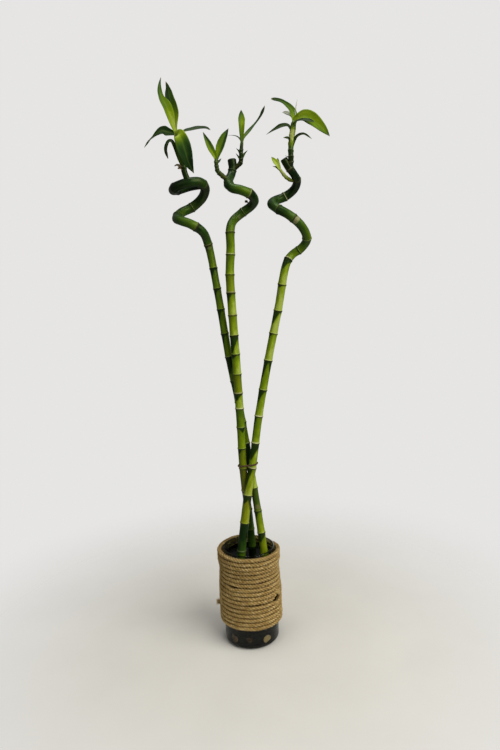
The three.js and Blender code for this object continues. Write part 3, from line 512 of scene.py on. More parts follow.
def turned_angle(outs, directions, look):
    """The angle in degrees between each outward vector and a way to look, round the stem."""
    flat = np.broadcast_to(np.asarray(look, float), directions.shape)
    flat = flat - directions * np.sum(flat * directions, -1, keepdims=True)
    flat = flat / np.maximum(np.linalg.norm(flat, axis=-1, keepdims=True), 1e-6)
    return np.degrees(np.arccos(np.clip(np.sum(outs * flat[:, None, :], -1), -1, 1)))


def seen_from(side, back=False):
    """The way out of a stem to a side, from -1 at the left to 1 at the right, at the front or back."""
    depth = math.sqrt(max(0.0, 1 - side * side))
    return (side, depth if back else -depth, 0)


# Painted light: the side of each cane that faces this way, to the right front, is painted paler as if lit
PAINTED_LIT_SIDE = np.array([0.8, -0.6, 0])
# Rows that close the top of a cane: height above its end, share of its radius, and how much of
# the cut wood they show
CUT_ROWS = [(0.5, 0.985, 0), (1.0, 0.92, 0.3), (1.35, 0.8, 0.8), (1.4, 0.55, 1), (1.35, 0.2, 1)]
# The ring that a leaf scar raises, how far it reaches up and down, how much higher it may sit at
# one side, the swelling round it, and how pale and how brown it is where the tables don't say
CANE_SCAR = {"rise": 0.5, "up": 0.55, "down": 1.1, "lean": 0.45, "swell": 0.22, "swell_reach": 4.5,
             "pale": (0.04, 0.14), "burnt": (0, 0.14)}
SHOOT_SCAR = {"rise": 0.42, "up": 0.3, "down": 1.9, "lean": 0.7, "pale": 0.1}
# The spans of the length, half width and band of a dark patch at the back
BACK_PATCH = ((3, 13), (40, 75), (0.3, 2))


def scar_ring(above, scar):
    """How far a leaf scar's ring stands out at heights above or below it."""
    return scar["rise"] * np.where(above > 0, bell(above, scar["up"]), bell(above, scar["down"]))


def dark_patches(above, angles, ragged, patches):
    """Where the dark marks under a leaf scar reach, from 0 to 1."""
    mask = np.zeros(above.shape)
    for angle, (_, _, long, half, band) in zip(angles, patches):
        reach = band * (angle < half * 1.6) + long * np.clip(1.1 - angle / half, 0, 1) ** 1.3
        soft = 0.6 + 0.14 * long
        mask = np.maximum(mask, smooth(reach + 0.8 * ragged + above, -soft, soft) * (above < 0.15))
    return mask


def stretch_values(cane, line, places, outs, surface):
    """The green and the brown tinge of each stretch between two leaf scars, with painted light: paler on
    the side that faces the right front.
    """
    scars = cane["scars"]
    stretch = np.searchsorted(scars, places, side="right")
    low = np.array([0, *scars])[stretch]
    high = np.array([*scars, line.length])[stretch]
    up_share = np.clip((places - low) / np.maximum(high - low, 1), 0, 1)
    tone = np.array(cane["tones"])[stretch] + 0.24 * (0.42 - up_share)
    tone = tone[:, None] + 0.07 * ripple(surface, *RIPPLES["tone"])
    # Painted light and shade: paler on the side facing the right front, darker on the side turned away
    tone = tone + 0.14 * (np.sum(outs * PAINTED_LIT_SIDE, -1) - 0.5)
    olive = np.array([cane["olive"].get(k, 0) for k in range(len(scars) + 1)])[stretch]
    olive = np.clip(olive[:, None] * (1 + 0.6 * ripple(surface, *RIPPLES["olive"])), 0, 1)
    return tone, olive


def scar_patches(cane, number, scar, rng):
    """The dark marks that hang from one leaf scar, and the way each of them looks."""
    patches = [patch for patch in cane["patches"] if patch[0] == number]
    looks = [seen_from(patch[1]) for patch in patches]
    if scar < cane["straight_to"]:
        patches.append((number, 0, *(rng.uniform(*span) for span in BACK_PATCH)))
        looks.append(seen_from(rng.uniform(-0.7, 0.7), back=True))
    return patches, looks


def build_cane(name, cane, material):
    """A cane with its leaf scars and the colours of its skin. Hands back its middle line."""
    rng = random.Random(len(name) * 11 + 3)
    line = cane_line(cane)
    places = stem_places(line.length, cane["scars"], CANE)
    directions = line.direction(places)
    outs = outward(directions, CANE["sides"])
    bare = read_pairs(cane["radii"], places)[:, None]
    centres = line.at(places)[:, None, :]
    surface = centres + outs * bare[..., None]
    radius = bare * (1 + 0.02 * ripple(surface, *RIPPLES["girth"]))
    tone, olive = stretch_values(cane, line, places, outs, surface)
    dark, lip, seam, brown = (np.zeros(radius.shape) for _ in range(4))
    ragged = ripple(surface, *RIPPLES["ragged"])
    for number, scar in enumerate(cane["scars"]):
        lean = rng.uniform(0, CANE_SCAR["lean"])
        away = turned_angle(outs, directions, seen_from(rng.uniform(-1, 1), rng.random() < 0.5))
        above = places[:, None] - scar - lean * np.cos(np.radians(away))
        radius = radius + scar_ring(above, CANE_SCAR)
        radius = radius + CANE_SCAR["swell"] * bell(above, CANE_SCAR["swell_reach"])
        pale = cane["lips"].get(number, rng.uniform(*CANE_SCAR["pale"]))
        lip = np.maximum(lip, pale * (1 + 0.5 * ragged) * bell(above - 0.7, 0.42 + 0.14 * pale))
        seam = np.maximum(seam, (0.85 + 0.4 * ragged) * bell(above + 0.3, 0.62))
        burnt = cane["browned"].get(number, rng.uniform(*CANE_SCAR["burnt"]))
        brown = np.maximum(brown, burnt * (0.8 + 0.9 * ragged) * bell(above, 1.5))
        patches, looks = scar_patches(cane, number, scar, rng)
        angles = [turned_angle(outs, directions, look) for look in looks]
        dark = np.maximum(dark, dark_patches(above, angles, ragged, patches))
    for place, side, half_length, half, pale, burnt in cane["marks"]:
        angle = turned_angle(outs, directions, seen_from(side))
        near = ((places - place) / half_length)[:, None] ** 2 + (angle / half) ** 2 + 0.5 * ragged
        mask = smooth(1.15 - near, 0, 0.4)
        lip = np.maximum(lip, pale * mask)
        brown = np.maximum(brown, burnt * mask)
    end_rows = [line.at(line.length) + directions[-1] * rise + outs[-1] * radius[-1][:, None] * share
                for rise, share, _ in CUT_ROWS]
    points = np.concatenate([centres + outs * radius[..., None], end_rows])
    extended = np.concatenate([places, line.length + 0.4 * np.arange(1, len(CUT_ROWS) + 1)])
    layers = {"tone": tone, "dark": dark, "lip": lip, "seam": seam, "brown": brown, "olive": olive}
    layers = {label: np.concatenate([values, np.repeat(values[-1:], len(CUT_ROWS), 0)])
              for label, values in layers.items()}
    wood = np.array([0] * len(places) + [share * cane["cap"] for _, _, share in CUT_ROWS])
    layers["cut"] = np.repeat(wood[:, None], CANE["sides"], 1)
    skin = Skin()
    skin.tube(points, skin=roll_coordinates(extended, 5, CANE["sides"]), **layers)
    skin.piece(f"{name}_cane", material, [f"cane_{name}"])
    return line


def build_shoot_stem(name, shoot, material):
    """The stem of a leafy shoot, tapered at its tip, with its leaf scars and colours."""
    sides = SHOOT["sides"]
    rng = random.Random(len(name) * 5 + 1)
    line = Line(shoot["stem"])
    places = stem_places(line.length, shoot["scars"], SHOOT)
    directions = line.direction(places)
    outs = outward(directions, sides)
    centres = line.at(places)[:, None, :]
    ragged = ripple(centres + outs * 3, *RIPPLES["shoot"])
    radius = np.repeat(read_pairs(shoot["radii"], places)[:, None], sides, 1)
    lip, seam = np.zeros(radius.shape), np.zeros(radius.shape)
    for scar in shoot["scars"]:
        away = turned_angle(outs, directions, seen_from(rng.uniform(-1, 1), rng.random() < 0.5))
        above = places[:, None] - scar - SHOOT_SCAR["lean"] * np.cos(np.radians(away))
        radius += scar_ring(above, SHOOT_SCAR)
        lip = np.maximum(lip, SHOOT_SCAR["pale"] * bell(above + 0.1, 0.3))
        seam = np.maximum(seam, 0.45 * bell(above - 0.5, 0.4))
    radius *= (1 + 0.04 * ragged) * (1 - 0.6 * smooth(places[:, None], line.length - 4, line.length))
    share = places / line.length
    tone = read_pairs(shoot["greens"], share)[:, None] + 0.08 * ragged
    lip = np.maximum(lip, 0.35 * smooth(tone, 0.8, 1.0))
    brown = read_pairs(shoot["browns"], share)[:, None] * (0.9 + 0.5 * ragged)
    skin = Skin()
    skin.tube(centres + outs * radius[..., None], skin=roll_coordinates(places, 3, sides),
              tone=tone, dark=0, lip=lip, seam=seam, brown=brown, olive=0.1, cut=0)
    skin.piece(f"{name}_shoot_stem", material, [f"shoot_{name}"])


def blade_widths(pairs, share):
    """Full width along a blade: the listed widths, rounded off in between."""
    steps, reach = 200, 9
    places = np.linspace(0, 1, steps + 1)
    listed = read_pairs(pairs, places)
    weights = np.hanning(2 * reach + 3)[1:-1]
    soft = np.convolve(np.pad(listed, reach, mode="edge"), weights / weights.sum(), mode="valid")
    blend = smooth(share, 0.9, 1.0)
    return np.interp(share, places, soft) * (1 - blend) + np.interp(share, places, listed) * blend


# How finely a blade is divided, how rounded its fold is, how high its edges wave as a share of
# its half width, and its thickness: at the edge, what the middle adds, and what the root adds.
# "least" is the smallest half width, and the midrib is sunk above and stands out below.
BLADE = {"rows": 48, "columns": 13, "round": 0.14, "wave": 0.09, "edge": 0.16, "middle": 0.14,
         "root": 0.25, "least": 0.14, "rib": 0.4, "rib_sunk": 0.08, "rib_out": 0.28}


def add_blade(skin, blade, seed):
    """A blade as a thin closed shell: a sunk midrib, two raised halves and gently waved edges."""
    rng = random.Random(seed)
    line = Line(blade["path"])
    share = np.linspace(0, 1, BLADE["rows"])
    tangent = line.direction(share * line.length)
    side = unit(np.cross(tangent, unit(np.array(blade["facing"], float))))
    up = np.cross(side, tangent)
    half = np.maximum(BLADE["least"], blade_widths(blade["widths"], share) / 2)[:, None]
    across = np.linspace(-1, 1, BLADE["columns"])
    soft = BLADE["round"]
    crown = (np.sqrt(across**2 + soft) - math.sqrt(soft)) / (math.sqrt(1 + soft) - math.sqrt(soft))
    phase = np.where(across > 0, rng.uniform(0, 6), rng.uniform(0, 6))
    turns = 2 * np.pi * rng.uniform(1.2, 2.2) * share[:, None]
    wave = BLADE["wave"] * np.sin(turns + phase) * across**2 * smooth(share, 0.1, 0.4)[:, None]
    lift = half * (blade.get("fold", PLAIN_FOLD) * crown + wave)
    rib = bell(np.abs(across) * half, BLADE["rib"])
    fine = smooth(half, 0.2, 1.2)
    thick = BLADE["edge"] + BLADE["middle"] * (1 - np.abs(across))
    thick = (thick + BLADE["root"] * (1 - smooth(share, 0, 0.15))[:, None]) * (0.35 + 0.65 * fine)
    top = lift + thick - BLADE["rib_sunk"] * rib * fine
    bottom = lift - thick - BLADE["rib_out"] * rib * fine
    middle = line.at(share * line.length)[:, None, :] + side[:, None, :] * (across * half)[..., None]
    upper = middle + up[:, None, :] * top[..., None]
    lower = middle + up[:, None, :] * bottom[..., None]
    around = np.concatenate([across, across[::-1]])
    shape = (len(share), len(around))
    along = np.broadcast_to(share[:, None], shape)
    texture = np.stack([around * half, along * line.length, np.full(shape, seed * 13.0)], -1) * MM
    # Painted light and shade: "lean" makes the blade's half on the left, as seen from the front, paler or
    # darker
    left = -np.sign(side[:, 0])[:, None] * around
    green = read_pairs(blade["greens"], share)[:, None] + blade.get("lean", 0) * np.clip(3 * left, -1, 1)
    under = np.repeat([0.0, 1.0], len(across))
    skin.tube(np.concatenate([upper, lower[:, ::-1]], 1), skin=texture,
              tone=green - 0.04 * np.abs(around), rib=np.concatenate([rib, rib[:, ::-1]], 1),
              under=np.broadcast_to(under, shape), ashen=blade.get("ashen", 0),
              dry=np.maximum(0.4 * smooth(along, 0.94, 1.0), blade.get("dry", 0)),
              edge=np.broadcast_to(smooth(np.abs(around), 0.85, 1.0), shape))


def colour(red, green, blue):
    """A colour given from 0 to 255 as on a screen, turned into light."""
    def light(value):
        value /= 255
        return value / 12.92 if value <= 0.04045 else ((value + 0.055) / 1.055) ** 2.4
    return (light(red), light(green), light(blue), 1)


class Look:
    """A node material, put together from small steps, with its colour built up layer by layer."""

    # The range that nearly all of a noise lies in
    NOISE_LOW, NOISE_HIGH = 0.3, 0.7

    def __init__(self, name, **sockets):
        self.material = bpy.data.materials.new(name)
        self.material.use_nodes = True
        self.tree = self.material.node_tree
        self.shader = self.tree.nodes["Principled BSDF"]
        self.body = None
        for label, value in sockets.items():
            self.shader.inputs[label.replace("_", " ")].default_value = value

    def feed(self, socket, value):
        """Joins or sets a socket. Text is the name of a value that each point has."""
        if isinstance(value, str):
            value = self.node("ShaderNodeAttribute", {}, "Fac", attribute_name=value)
        if isinstance(value, bpy.types.NodeSocket):
            self.tree.links.new(value, socket)
        else:
            socket.default_value = value

    def node(self, kind, inputs, output=0, **settings):
        made = self.tree.nodes.new(kind)
        for label, value in settings.items():
            setattr(made, label, value)
        for label, value in inputs.items():
            self.feed(made.inputs[label], value)
        return made.outputs[output]

    def place(self):
        """Where a point lies in the whole object."""
        return self.node("ShaderNodeTexCoord", {}, "Object")

    def skin(self):
        """Where a point lies on a stem, a cord or a blade: round it, and along it."""
        return self.node("ShaderNodeAttribute", {}, "Vector", attribute_name="skin")

    def noise(self, vector, scale, detail=2.0, rough=0.5, stretch=None):
        """A noise, drawn out where a stretch is given."""
        if stretch:
            vector = self.node("ShaderNodeVectorMath", {0: vector, 1: stretch}, operation="MULTIPLY")
        inputs = {"Vector": vector, "Scale": scale, "Detail": detail, "Roughness": rough}
        return self.node("ShaderNodeTexNoise", inputs, "Fac")

    def math(self, operation, first, second, clamp=False):
        return self.node("ShaderNodeMath", {0: first, 1: second}, operation=operation, use_clamp=clamp)

    def spread(self, value, low, high, start=0.0, end=1.0):
        inputs = {"Value": value, "From Min": low, "From Max": high, "To Min": start, "To Max": end}
        return self.node("ShaderNodeMapRange", inputs)

    def noisy(self, noise, start, end):
        """A noise brought to a range of its own."""
        return self.spread(noise, self.NOISE_LOW, self.NOISE_HIGH, start, end)

    def varied(self, value, noise, reach, clamp=False):
        """A value that a noise moves up and down."""
        return self.math("ADD", value, self.noisy(noise, -reach, reach), clamp)

    def ramp(self, share, stops):
        made = self.tree.nodes.new("ShaderNodeValToRGB")
        elements = made.color_ramp.elements
        while len(elements) < len(stops):
            elements.new(1.0)
        for element, (position, shade) in zip(elements, stops):
            element.position = position
            element.color = shade
        self.feed(made.inputs["Fac"], share)
        return made.outputs["Color"]

    def cover(self, share, shade):
        """Lays a colour over the body's by a share from 0 to 1."""
        inputs = {0: share, 6: self.body, 7: shade}
        self.body = self.node("ShaderNodeMix", inputs, 2, data_type="RGBA")

    def finish(self, rough, relief=None, strength=0.0, depth=0.0):
        """Sets the colour, the roughness and any relief, and hands back the material."""
        self.feed(self.shader.inputs["Base Color"], self.body)
        self.feed(self.shader.inputs["Roughness"], rough)
        if relief is not None:
            inputs = {"Height": relief, "Strength": strength, "Distance": depth * MM}
            self.feed(self.shader.inputs["Normal"], self.node("ShaderNodeBump", inputs, "Normal"))
        return self.material


# The greens from the darkest to the palest, and how the wet skin tints what it reflects
GREENS = [
    (0.0, colour(10, 27, 11)),
    (0.2, colour(25, 50, 18)),
    (0.4, colour(52, 82, 22)),
    (0.6, colour(82, 108, 14)),
    (0.8, colour(112, 136, 12)),
    (0.9, colour(136, 158, 28)),
    (1.0, colour(168, 184, 76)),
]
GREEN_SHINE = (0.75, 1.0, 0.35, 1.0)


def cane_look():
    """Green skin with fibres along it, marks at the leaf scars and bare wood where it is cut."""
    look = Look("cane skin", Specular_IOR_Level=0.26, Specular_Tint=GREEN_SHINE)
    fibres = look.noise(look.skin(), 2200, 3, 0.6, (1, 1, 0.05))
    blotches = look.noise(look.skin(), 260, 3, stretch=(1, 1, 0.4))
    specks = look.noise(look.skin(), 900, stretch=(1, 1, 0.35))
    tone = look.varied(look.varied("tone", fibres, 0.05), blotches, 0.08, clamp=True)
    look.body = look.ramp(tone, GREENS)
    look.cover("olive", look.ramp(tone, [(0, colour(28, 28, 9)), (1, colour(146, 134, 20))]))
    look.cover(look.spread(look.varied("dark", fibres, 0.3), 0.15, 0.9, 0, 0.94), colour(11, 36, 11))
    look.cover(look.spread(specks, 0.66, 0.72, 0, 0.3), colour(66, 58, 26))
    look.cover(look.math("MULTIPLY", "seam", 0.8), colour(28, 30, 12))
    look.cover(look.math("MULTIPLY", "lip", 0.9, clamp=True), colour(206, 204, 150))
    burnt = look.math("MULTIPLY", "brown", look.spread(blotches, 0.3, 0.6, 0.6, 1.2), clamp=True)
    look.cover(burnt, colour(82, 62, 34))
    look.cover("cut", look.ramp(specks, [(0.3, colour(60, 50, 36)), (0.7, colour(104, 90, 62))]))
    dull = look.math("MULTIPLY", look.math("MAXIMUM", "brown", "cut"), 0.3)
    rough = look.math("ADD", look.noisy(blotches, 0.26, 0.36), dull)
    relief = look.math("ADD", fibres, look.math("MULTIPLY", specks, 0.6))
    return look.finish(rough, relief, 0.35, 0.12)


def leaf_look():
    """Green blades with veins along them, some greyed and some dry."""
    look = Look("leaf blade", Specular_IOR_Level=0.12, Specular_Tint=GREEN_SHINE)
    veins = look.noise(look.skin(), 2600, 2, 0.6, (1, 0.025, 1))
    soft = look.noise(look.skin(), 240, 3, stretch=(1, 0.3, 1))
    tone = look.varied(look.varied("tone", veins, 0.05), soft, 0.08, clamp=True)
    look.body = look.ramp(tone, GREENS)
    look.cover(look.math("MULTIPLY", "under", 0.12), colour(92, 116, 46))
    look.cover(look.math("MULTIPLY", "rib", 0.1), colour(160, 180, 90))
    look.cover(look.math("MULTIPLY", "edge", 0.1), colour(130, 146, 70))
    look.cover("ashen", look.ramp(tone, [(0, colour(56, 66, 52)), (1, colour(188, 188, 178))]))
    look.cover("dry", look.ramp(soft, [(0.35, colour(80, 50, 28)), (0.65, colour(190, 166, 126))]))
    return look.finish(look.noisy(soft, 0.38, 0.52), veins, 0.4, 0.12)


# How the rope is wound round the jar, how far it stands from the axis, and its make. "floor" is how
# deep the grooves between the strands go, and "ends" how thin the two ends are, as shares of the
# radius. "wander" and "uneven" are how much its lay and its thickness change along "wave".
ROPE = {"turns": 16.76, "pitch": 5.2, "lowest": 27.4, "out": 35.3, "strands": 3, "lay": 10.8,
        "half_height": 2.66, "half_depth": 2.42, "sides": 24, "step": 0.95, "floor": 0.58, "ends": 0.35,
        "wander": 1.6, "uneven": 0.08, "wave": 17}
# By height, how much further out or in it lies
ROPE_WAIST = [(25, 0), (62, 0), (76, -0.7), (89, -1.8), (95, -1.6), (101, -0.2), (116, -0.2)]
# How much its height and its distance sway, in slow waves and in quick ones
ROPE_SWAY = {"height": (0.5, 0.3), "out": (0.45, 0.25)}
# Where two turns are pushed apart and the dark glass shows: angle in degrees, height, how far
# they are pushed, and over how many degrees. The push fades with height by ROPE_FADE.
ROPE_GAPS = [(-32, 58, 6.2, 7.5), (-83, 59, 1.1, 18), (-125, 77, 1.3, 9)]
ROPE_FADE = 5
# At the top the rope sags at the back right, and its last part slips down off the rim
ROPE_TOP = {"sag_angle": 38, "sag_spread": 26, "sag": 3.8, "sag_fade": 8, "slip_from": 16.42,
            "slip_turn": 0.15, "slip": 2.3}


def bell_round(turned, angle, spread):
    """One where the rope passes an angle in degrees, falling towards nothing beyond the spread."""
    return bell((np.degrees(-turned) - angle + 180) % 360 - 180, spread)


def rope_sway(label, slow, quick):
    """The rope's uneven winding, as slow and quick waves together."""
    slow_reach, quick_reach = ROPE_SWAY[label]
    slow_waves = ripple(slow, *RIPPLES[f"rope_{label}"])
    return slow_reach * slow_waves + quick_reach * ripple(quick, *RIPPLES[f"rope_{label}_quick"])


def rope_line():
    """The rope's middle line: angle, height and distance from the axis."""
    turned = np.arange(0, 2 * np.pi * ROPE["turns"], ROPE["step"] / ROPE["out"])
    height = ROPE["lowest"] + ROPE["pitch"] * turned / (2 * np.pi)
    slow, quick = (np.stack([wide * np.cos(turned), wide * np.sin(turned), height / tall], -1)
                   for wide, tall in ((2, 7), (6, 3)))
    sway = rope_sway("height", slow, quick)
    ends = smooth(turned, 0, 2) * smooth(turned[-1] - turned, 0, 2)
    out = ROPE["out"] + read_pairs(ROPE_WAIST, height)
    out = out + rope_sway("out", slow, quick)
    push = np.zeros(len(turned))
    for angle, level, far, spread in ROPE_GAPS:
        away = height - level
        fade = np.sign(away) * np.exp(-np.abs(away) / ROPE_FADE)
        push += far * bell_round(turned, angle, spread) * fade
    sag = bell_round(turned, ROPE_TOP["sag_angle"], ROPE_TOP["sag_spread"])
    push -= ROPE_TOP["sag"] * sag * np.exp((height - height[-1]) / ROPE_TOP["sag_fade"])
    slip_from = ROPE_TOP["slip_from"]
    slipped = smooth(turned / (2 * np.pi), slip_from, slip_from + ROPE_TOP["slip_turn"])
    push -= ROPE_TOP["slip"] * slipped
    return -turned, height + sway * ends + push, out


def strand_reach(angle, strands, floor):
    """How far out the rope's skin lies at an angle from a strand's crest."""
    half = np.pi / strands
    centre = 1 / (1 + math.sin(half))
    strand = 1 - centre
    off = (angle + half) % (2 * half) - half
    inside = np.maximum(strand**2 - (centre * np.sin(off)) ** 2, 0)
    return np.maximum(centre * np.cos(off) + np.sqrt(inside), floor)


def build_rope(material):
    """The rope itself: twisted strands wound round the jar, thinned at both ends."""
    angle, height, out = rope_line()
    around = 2 * np.pi * np.arange(ROPE["sides"]) / ROPE["sides"]
    length = np.concatenate([[0], np.cumsum(np.abs(np.diff(angle)) * out[1:])])
    slow = np.stack([length / ROPE["wave"], length * 0, length * 0], -1)
    turned = 2 * np.pi * length / ROPE["lay"] + ROPE["wander"] * ripple(slow, *RIPPLES["rope_lay"])
    share = strand_reach(around[None, :] - turned[:, None], ROPE["strands"], ROPE["floor"])
    taper = ROPE["ends"] + (1 - ROPE["ends"]) * smooth(length, 0, 3) * smooth(length[-1] - length, 0, 3)
    size = taper * (1 + ROPE["uneven"] * ripple(3 * slow, *RIPPLES["rope_size"]))
    size = size[:, None] * share
    from_axis = out[:, None] + ROPE["half_depth"] * size * np.cos(around)
    rise = ROPE["half_height"] * size * np.sin(around)
    points = np.stack([from_axis * np.cos(angle)[:, None], from_axis * np.sin(angle)[:, None],
                       height[:, None] + rise], -1)
    # How high on a strand each point lies, the mask for the painted shade in the grooves
    crest = (share - ROPE["floor"]) / (1 - ROPE["floor"])
    # The rope's top and bottom, the mask for the painted shade where one turn meets the next
    side = np.broadcast_to(np.abs(np.sin(around)), share.shape)
    skin = Skin()
    skin.tube(points, skin=roll_coordinates(length, 2.4, len(around)), crest=crest, side=side)
    skin.piece("wound_rope", material, ["rope_wrap"])


# Stray fibres all over the rope: how many, how far from its middle line they start, and the spans
# of their length and thickness. The tuft stands out where the rope was joined, and the lengths in
# it are shares of its reach. Each fibre is a bent thread of a few rings.
STRAY = {"count": 1700, "start": 2.1, "length": (1.5, 4), "thick": (0.035, 0.07)}
TUFT = {"count": 240, "angle": -174, "height": 47, "out": 1.6, "length": (0.4, 1), "reach": 5.5,
        "thick": (0.12, 0.24)}
HAIR = {"rings": 5, "sides": 3}


def add_hair(skin, start, way, lift, long, thick, tint):
    """One stray fibre: a bent thread that gets thinner."""
    share = np.linspace(0, 1, HAIR["rings"])[:, None]
    middle = start + way * long * share + lift * long * share**2
    outs = outward(unit(way + 2 * lift * share), HAIR["sides"])
    size = thick * (1 - 0.7 * share)[..., None]
    skin.tube(middle[:, None, :] + outs * size, tint=tint)


def build_fibres(material):
    """Fine hairs all over the rope, and the tuft where it was joined."""
    rng = random.Random(29)
    angle, height, out = rope_line()
    skin = Skin()
    for _ in range(STRAY["count"]):
        k = rng.randrange(20, len(angle) - 20)
        along = round_axis(angle[k] + math.pi / 2)
        tilt = rng.uniform(-0.9, 0.9)
        normal = round_axis(angle[k], math.cos(tilt), math.sin(tilt))
        start = round_axis(angle[k], out[k], height[k]) + normal * STRAY["start"]
        way = unit(along * rng.choice((-1, 1)) + normal * rng.uniform(0.1, 0.6)
                   + np.array([0, 0, rng.uniform(-0.4, 0.4)]))
        lift = np.array([rng.uniform(-0.2, 0.2), rng.uniform(-0.2, 0.2), rng.uniform(-0.5, 0.3)])
        add_hair(skin, start, way, lift, rng.uniform(*STRAY["length"]), rng.uniform(*STRAY["thick"]),
                 rng.random())
    turn = math.radians(TUFT["angle"])
    base = round_axis(turn, ROPE["out"] + TUFT["out"], TUFT["height"])
    for _ in range(TUFT["count"]):
        start = base + np.array([0, rng.uniform(-2, 2), rng.uniform(-1.8, 1.4)])
        way = unit(round_axis(turn) + np.array([0, rng.uniform(-0.5, 0.5), rng.uniform(-0.35, 0.5)]))
        lift = np.array([0, rng.uniform(-0.3, 0.3), rng.uniform(-0.3, 0.5)])
        add_hair(skin, start, way, lift, TUFT["reach"] * rng.uniform(*TUFT["length"]),
                 rng.uniform(*TUFT["thick"]), 0.4 + 0.6 * rng.random())
    skin.piece("rope_fibres", material)


def rope_look():
    """Straw-coloured jute, with painted shade in its grooves and between the turns."""
    look = Look("jute rope", Sheen_Weight=0.05, Sheen_Roughness=0.6, Specular_IOR_Level=0.1)
    fibres = look.noise(look.skin(), 2600, 3, 0.65, (1, 1, 0.2))
    clumps = look.noise(look.skin(), 620, 4, 0.6, (1, 1, 0.3))
    turns = look.noise(look.place(), 38, 3)
    tone = look.math("ADD", look.math("MULTIPLY", fibres, 0.45), look.math("MULTIPLY", clumps, 0.55))
    look.body = look.ramp(tone, [
        (0.34, colour(112, 86, 40)), (0.5, colour(178, 147, 84)), (0.64, colour(236, 212, 152)),
    ])
    # Painted shade: darker down in the grooves between the strands
    look.cover(look.spread("crest", 0.0, 0.7, 0.7, 0.0), colour(84, 60, 26))
    # Painted shade: darker at the rope's top and bottom, where the turns meet
    look.cover(look.spread("side", 0.75, 1.0, 0.0, 0.65), colour(60, 42, 18))
    look.cover(look.spread(turns, 0.42, 0.7, 0, 0.4), colour(124, 96, 50))
    return look.finish(look.noisy(fibres, 0.75, 0.95), tone, 0.9, 0.5)


def fibre_look():
    """Single fibres, each with its own tint."""
    look = Look("stray fibres", Sheen_Weight=0.2)
    look.body = look.ramp("tint", [(0, colour(128, 96, 48)), (1, colour(224, 194, 134))])
    return look.finish(look.noisy(look.noise(look.place(), 300), 0.7, 0.9))


# The jar, with the radii of its rounded heel, of the corner inside and of the rim's roll
JAR = {"radius": 32.5, "height": 115, "wall": 1.9, "floor": 3, "heel": 5, "corner": 4, "neck": 30.4,
       "roll": 1.2, "segments": 96}
# A painted highlight: the rim is painted white and made less clear on the side where it stands free of
# the rope, by angle in degrees
RIM_PAINTED_HIGHLIGHT = {"angle": 30, "spread": 34}
WATER = {"bottom": 86, "top": 105.6, "segments": 72}


def lathe(profile, segments):
    """Rows of points for an outline of distances and heights turned round the jar's axis."""
    turns = 2 * np.pi * np.arange(segments) / segments
    around = np.stack([np.cos(turns), np.sin(turns), np.ones(segments)], -1)
    return np.array([around * (radius, radius, height) for radius, height in profile])


def arc(radius, height, size, start, end, count):
    """Points on an arc of a turned outline, between two angles in degrees."""
    turns = np.radians(np.linspace(start, end, count + 1))
    return [(radius + size * math.cos(turn), height + size * math.sin(turn)) for turn in turns]


def build_jar(material):
    """Thick clear glass with a rounded foot, a slight neck under the rim and a rolled lip."""
    body, top, wall, neck, roll = (JAR[label] for label in ("radius", "height", "wall", "neck", "roll"))
    heel, corner, floor = JAR["heel"], JAR["corner"], JAR["floor"]
    side = [(body, 30), (body, 70), (body - 0.5, 78), (neck + 0.4, 87), (neck, 93), (neck, 108)]
    profile = [(0.5, 0.9), (16, 0.9), (22, 0.5), (24.5, 0)]
    profile += arc(body - heel, heel, heel, -80, 0, 8)
    profile += side
    profile += arc(neck - 0.9, top - roll, roll, -20, 200, 12)
    profile += [(radius - wall, height) for radius, height in reversed(side)]
    profile += arc(body - wall - corner, floor + corner, corner, 0, -90, 7)
    profile += [(16, floor), (0.5, floor)]
    points = lathe(profile, JAR["segments"])
    angles = np.degrees(np.arctan2(points[..., 1], points[..., 0]))
    reach = np.hypot(points[..., 0], points[..., 1])
    # Where the rim gets its painted highlight
    bright = smooth(points[..., 2], top - 1, top - 0.2) * smooth(reach, neck - 1, neck - 0.4)
    skin = Skin()
    skin.tube(points, edge=bright * bell(angles - RIM_PAINTED_HIGHLIGHT["angle"], RIM_PAINTED_HIGHLIGHT["spread"]))
    skin.piece("clear_jar", material, ["glass_jar"])


def glass_look():
    """Clear glass with slight waves, and a painted white highlight along part of the rim, where it is
    less clear.
    """
    look = Look("jar glass", IOR=1.3)
    look.body = colour(166, 180, 166)
    # Painted highlight: near white along part of the rim, where the glass is also made less clear
    look.cover("edge", colour(240, 242, 240))
    look.feed(look.shader.inputs["Transmission Weight"], look.spread("edge", 0, 1, 1, 0.2))
    rough = look.spread(look.noise(look.place(), 240, 3), 0.45, 0.75, 0.01, 0.05)
    waves = look.noise(look.place(), 60, 1, stretch=(1, 1, 0.5))
    return look.finish(rough, waves, 0.25, 0.6)


def build_water(material):
    """Still water over the stones, drawn up a little where it meets the glass."""
    edge = JAR["neck"] - JAR["wall"] - 0.1
    bottom, top = WATER["bottom"], WATER["top"]
    profile = [(0.5, bottom), (edge, bottom), (edge, top + 0.9), (edge - 0.4, top + 0.45),
               (edge - 1.0, top + 0.12), (edge - 2.0, top), (0.5, top)]
    skin = Skin()
    skin.tube(lathe(profile, WATER["segments"]))
    skin.piece("still_water", material, ["water"])


def water_look():
    """Water with a dark green tint, and a faint ripple."""
    look = Look("water", Transmission_Weight=1.0, IOR=1.2)
    look.body = colour(64, 82, 56)
    rough = look.noisy(look.noise(look.place(), 120), 0.0, 0.03)
    return look.finish(rough, look.noise(look.place(), 90, 2), 0.2, 0.3)


def stone_form():
    """A rounded form with enough points to be worn into a pebble."""
    form = bmesh.new()
    bmesh.ops.create_icosphere(form, subdivisions=3, radius=1.0)
    points = np.array([vertex.co[:] for vertex in form.verts])
    faces = np.array([[vertex.index for vertex in face.verts] for face in form.faces])
    form.free()
    return points, faces


# Rows of pebbles pressed to the glass: height, distance from the axis, how many
PEBBLE_ROWS = [(8.4, 25.4, 13), (16.6, 27, 13), (24.8, 27.2, 14)]
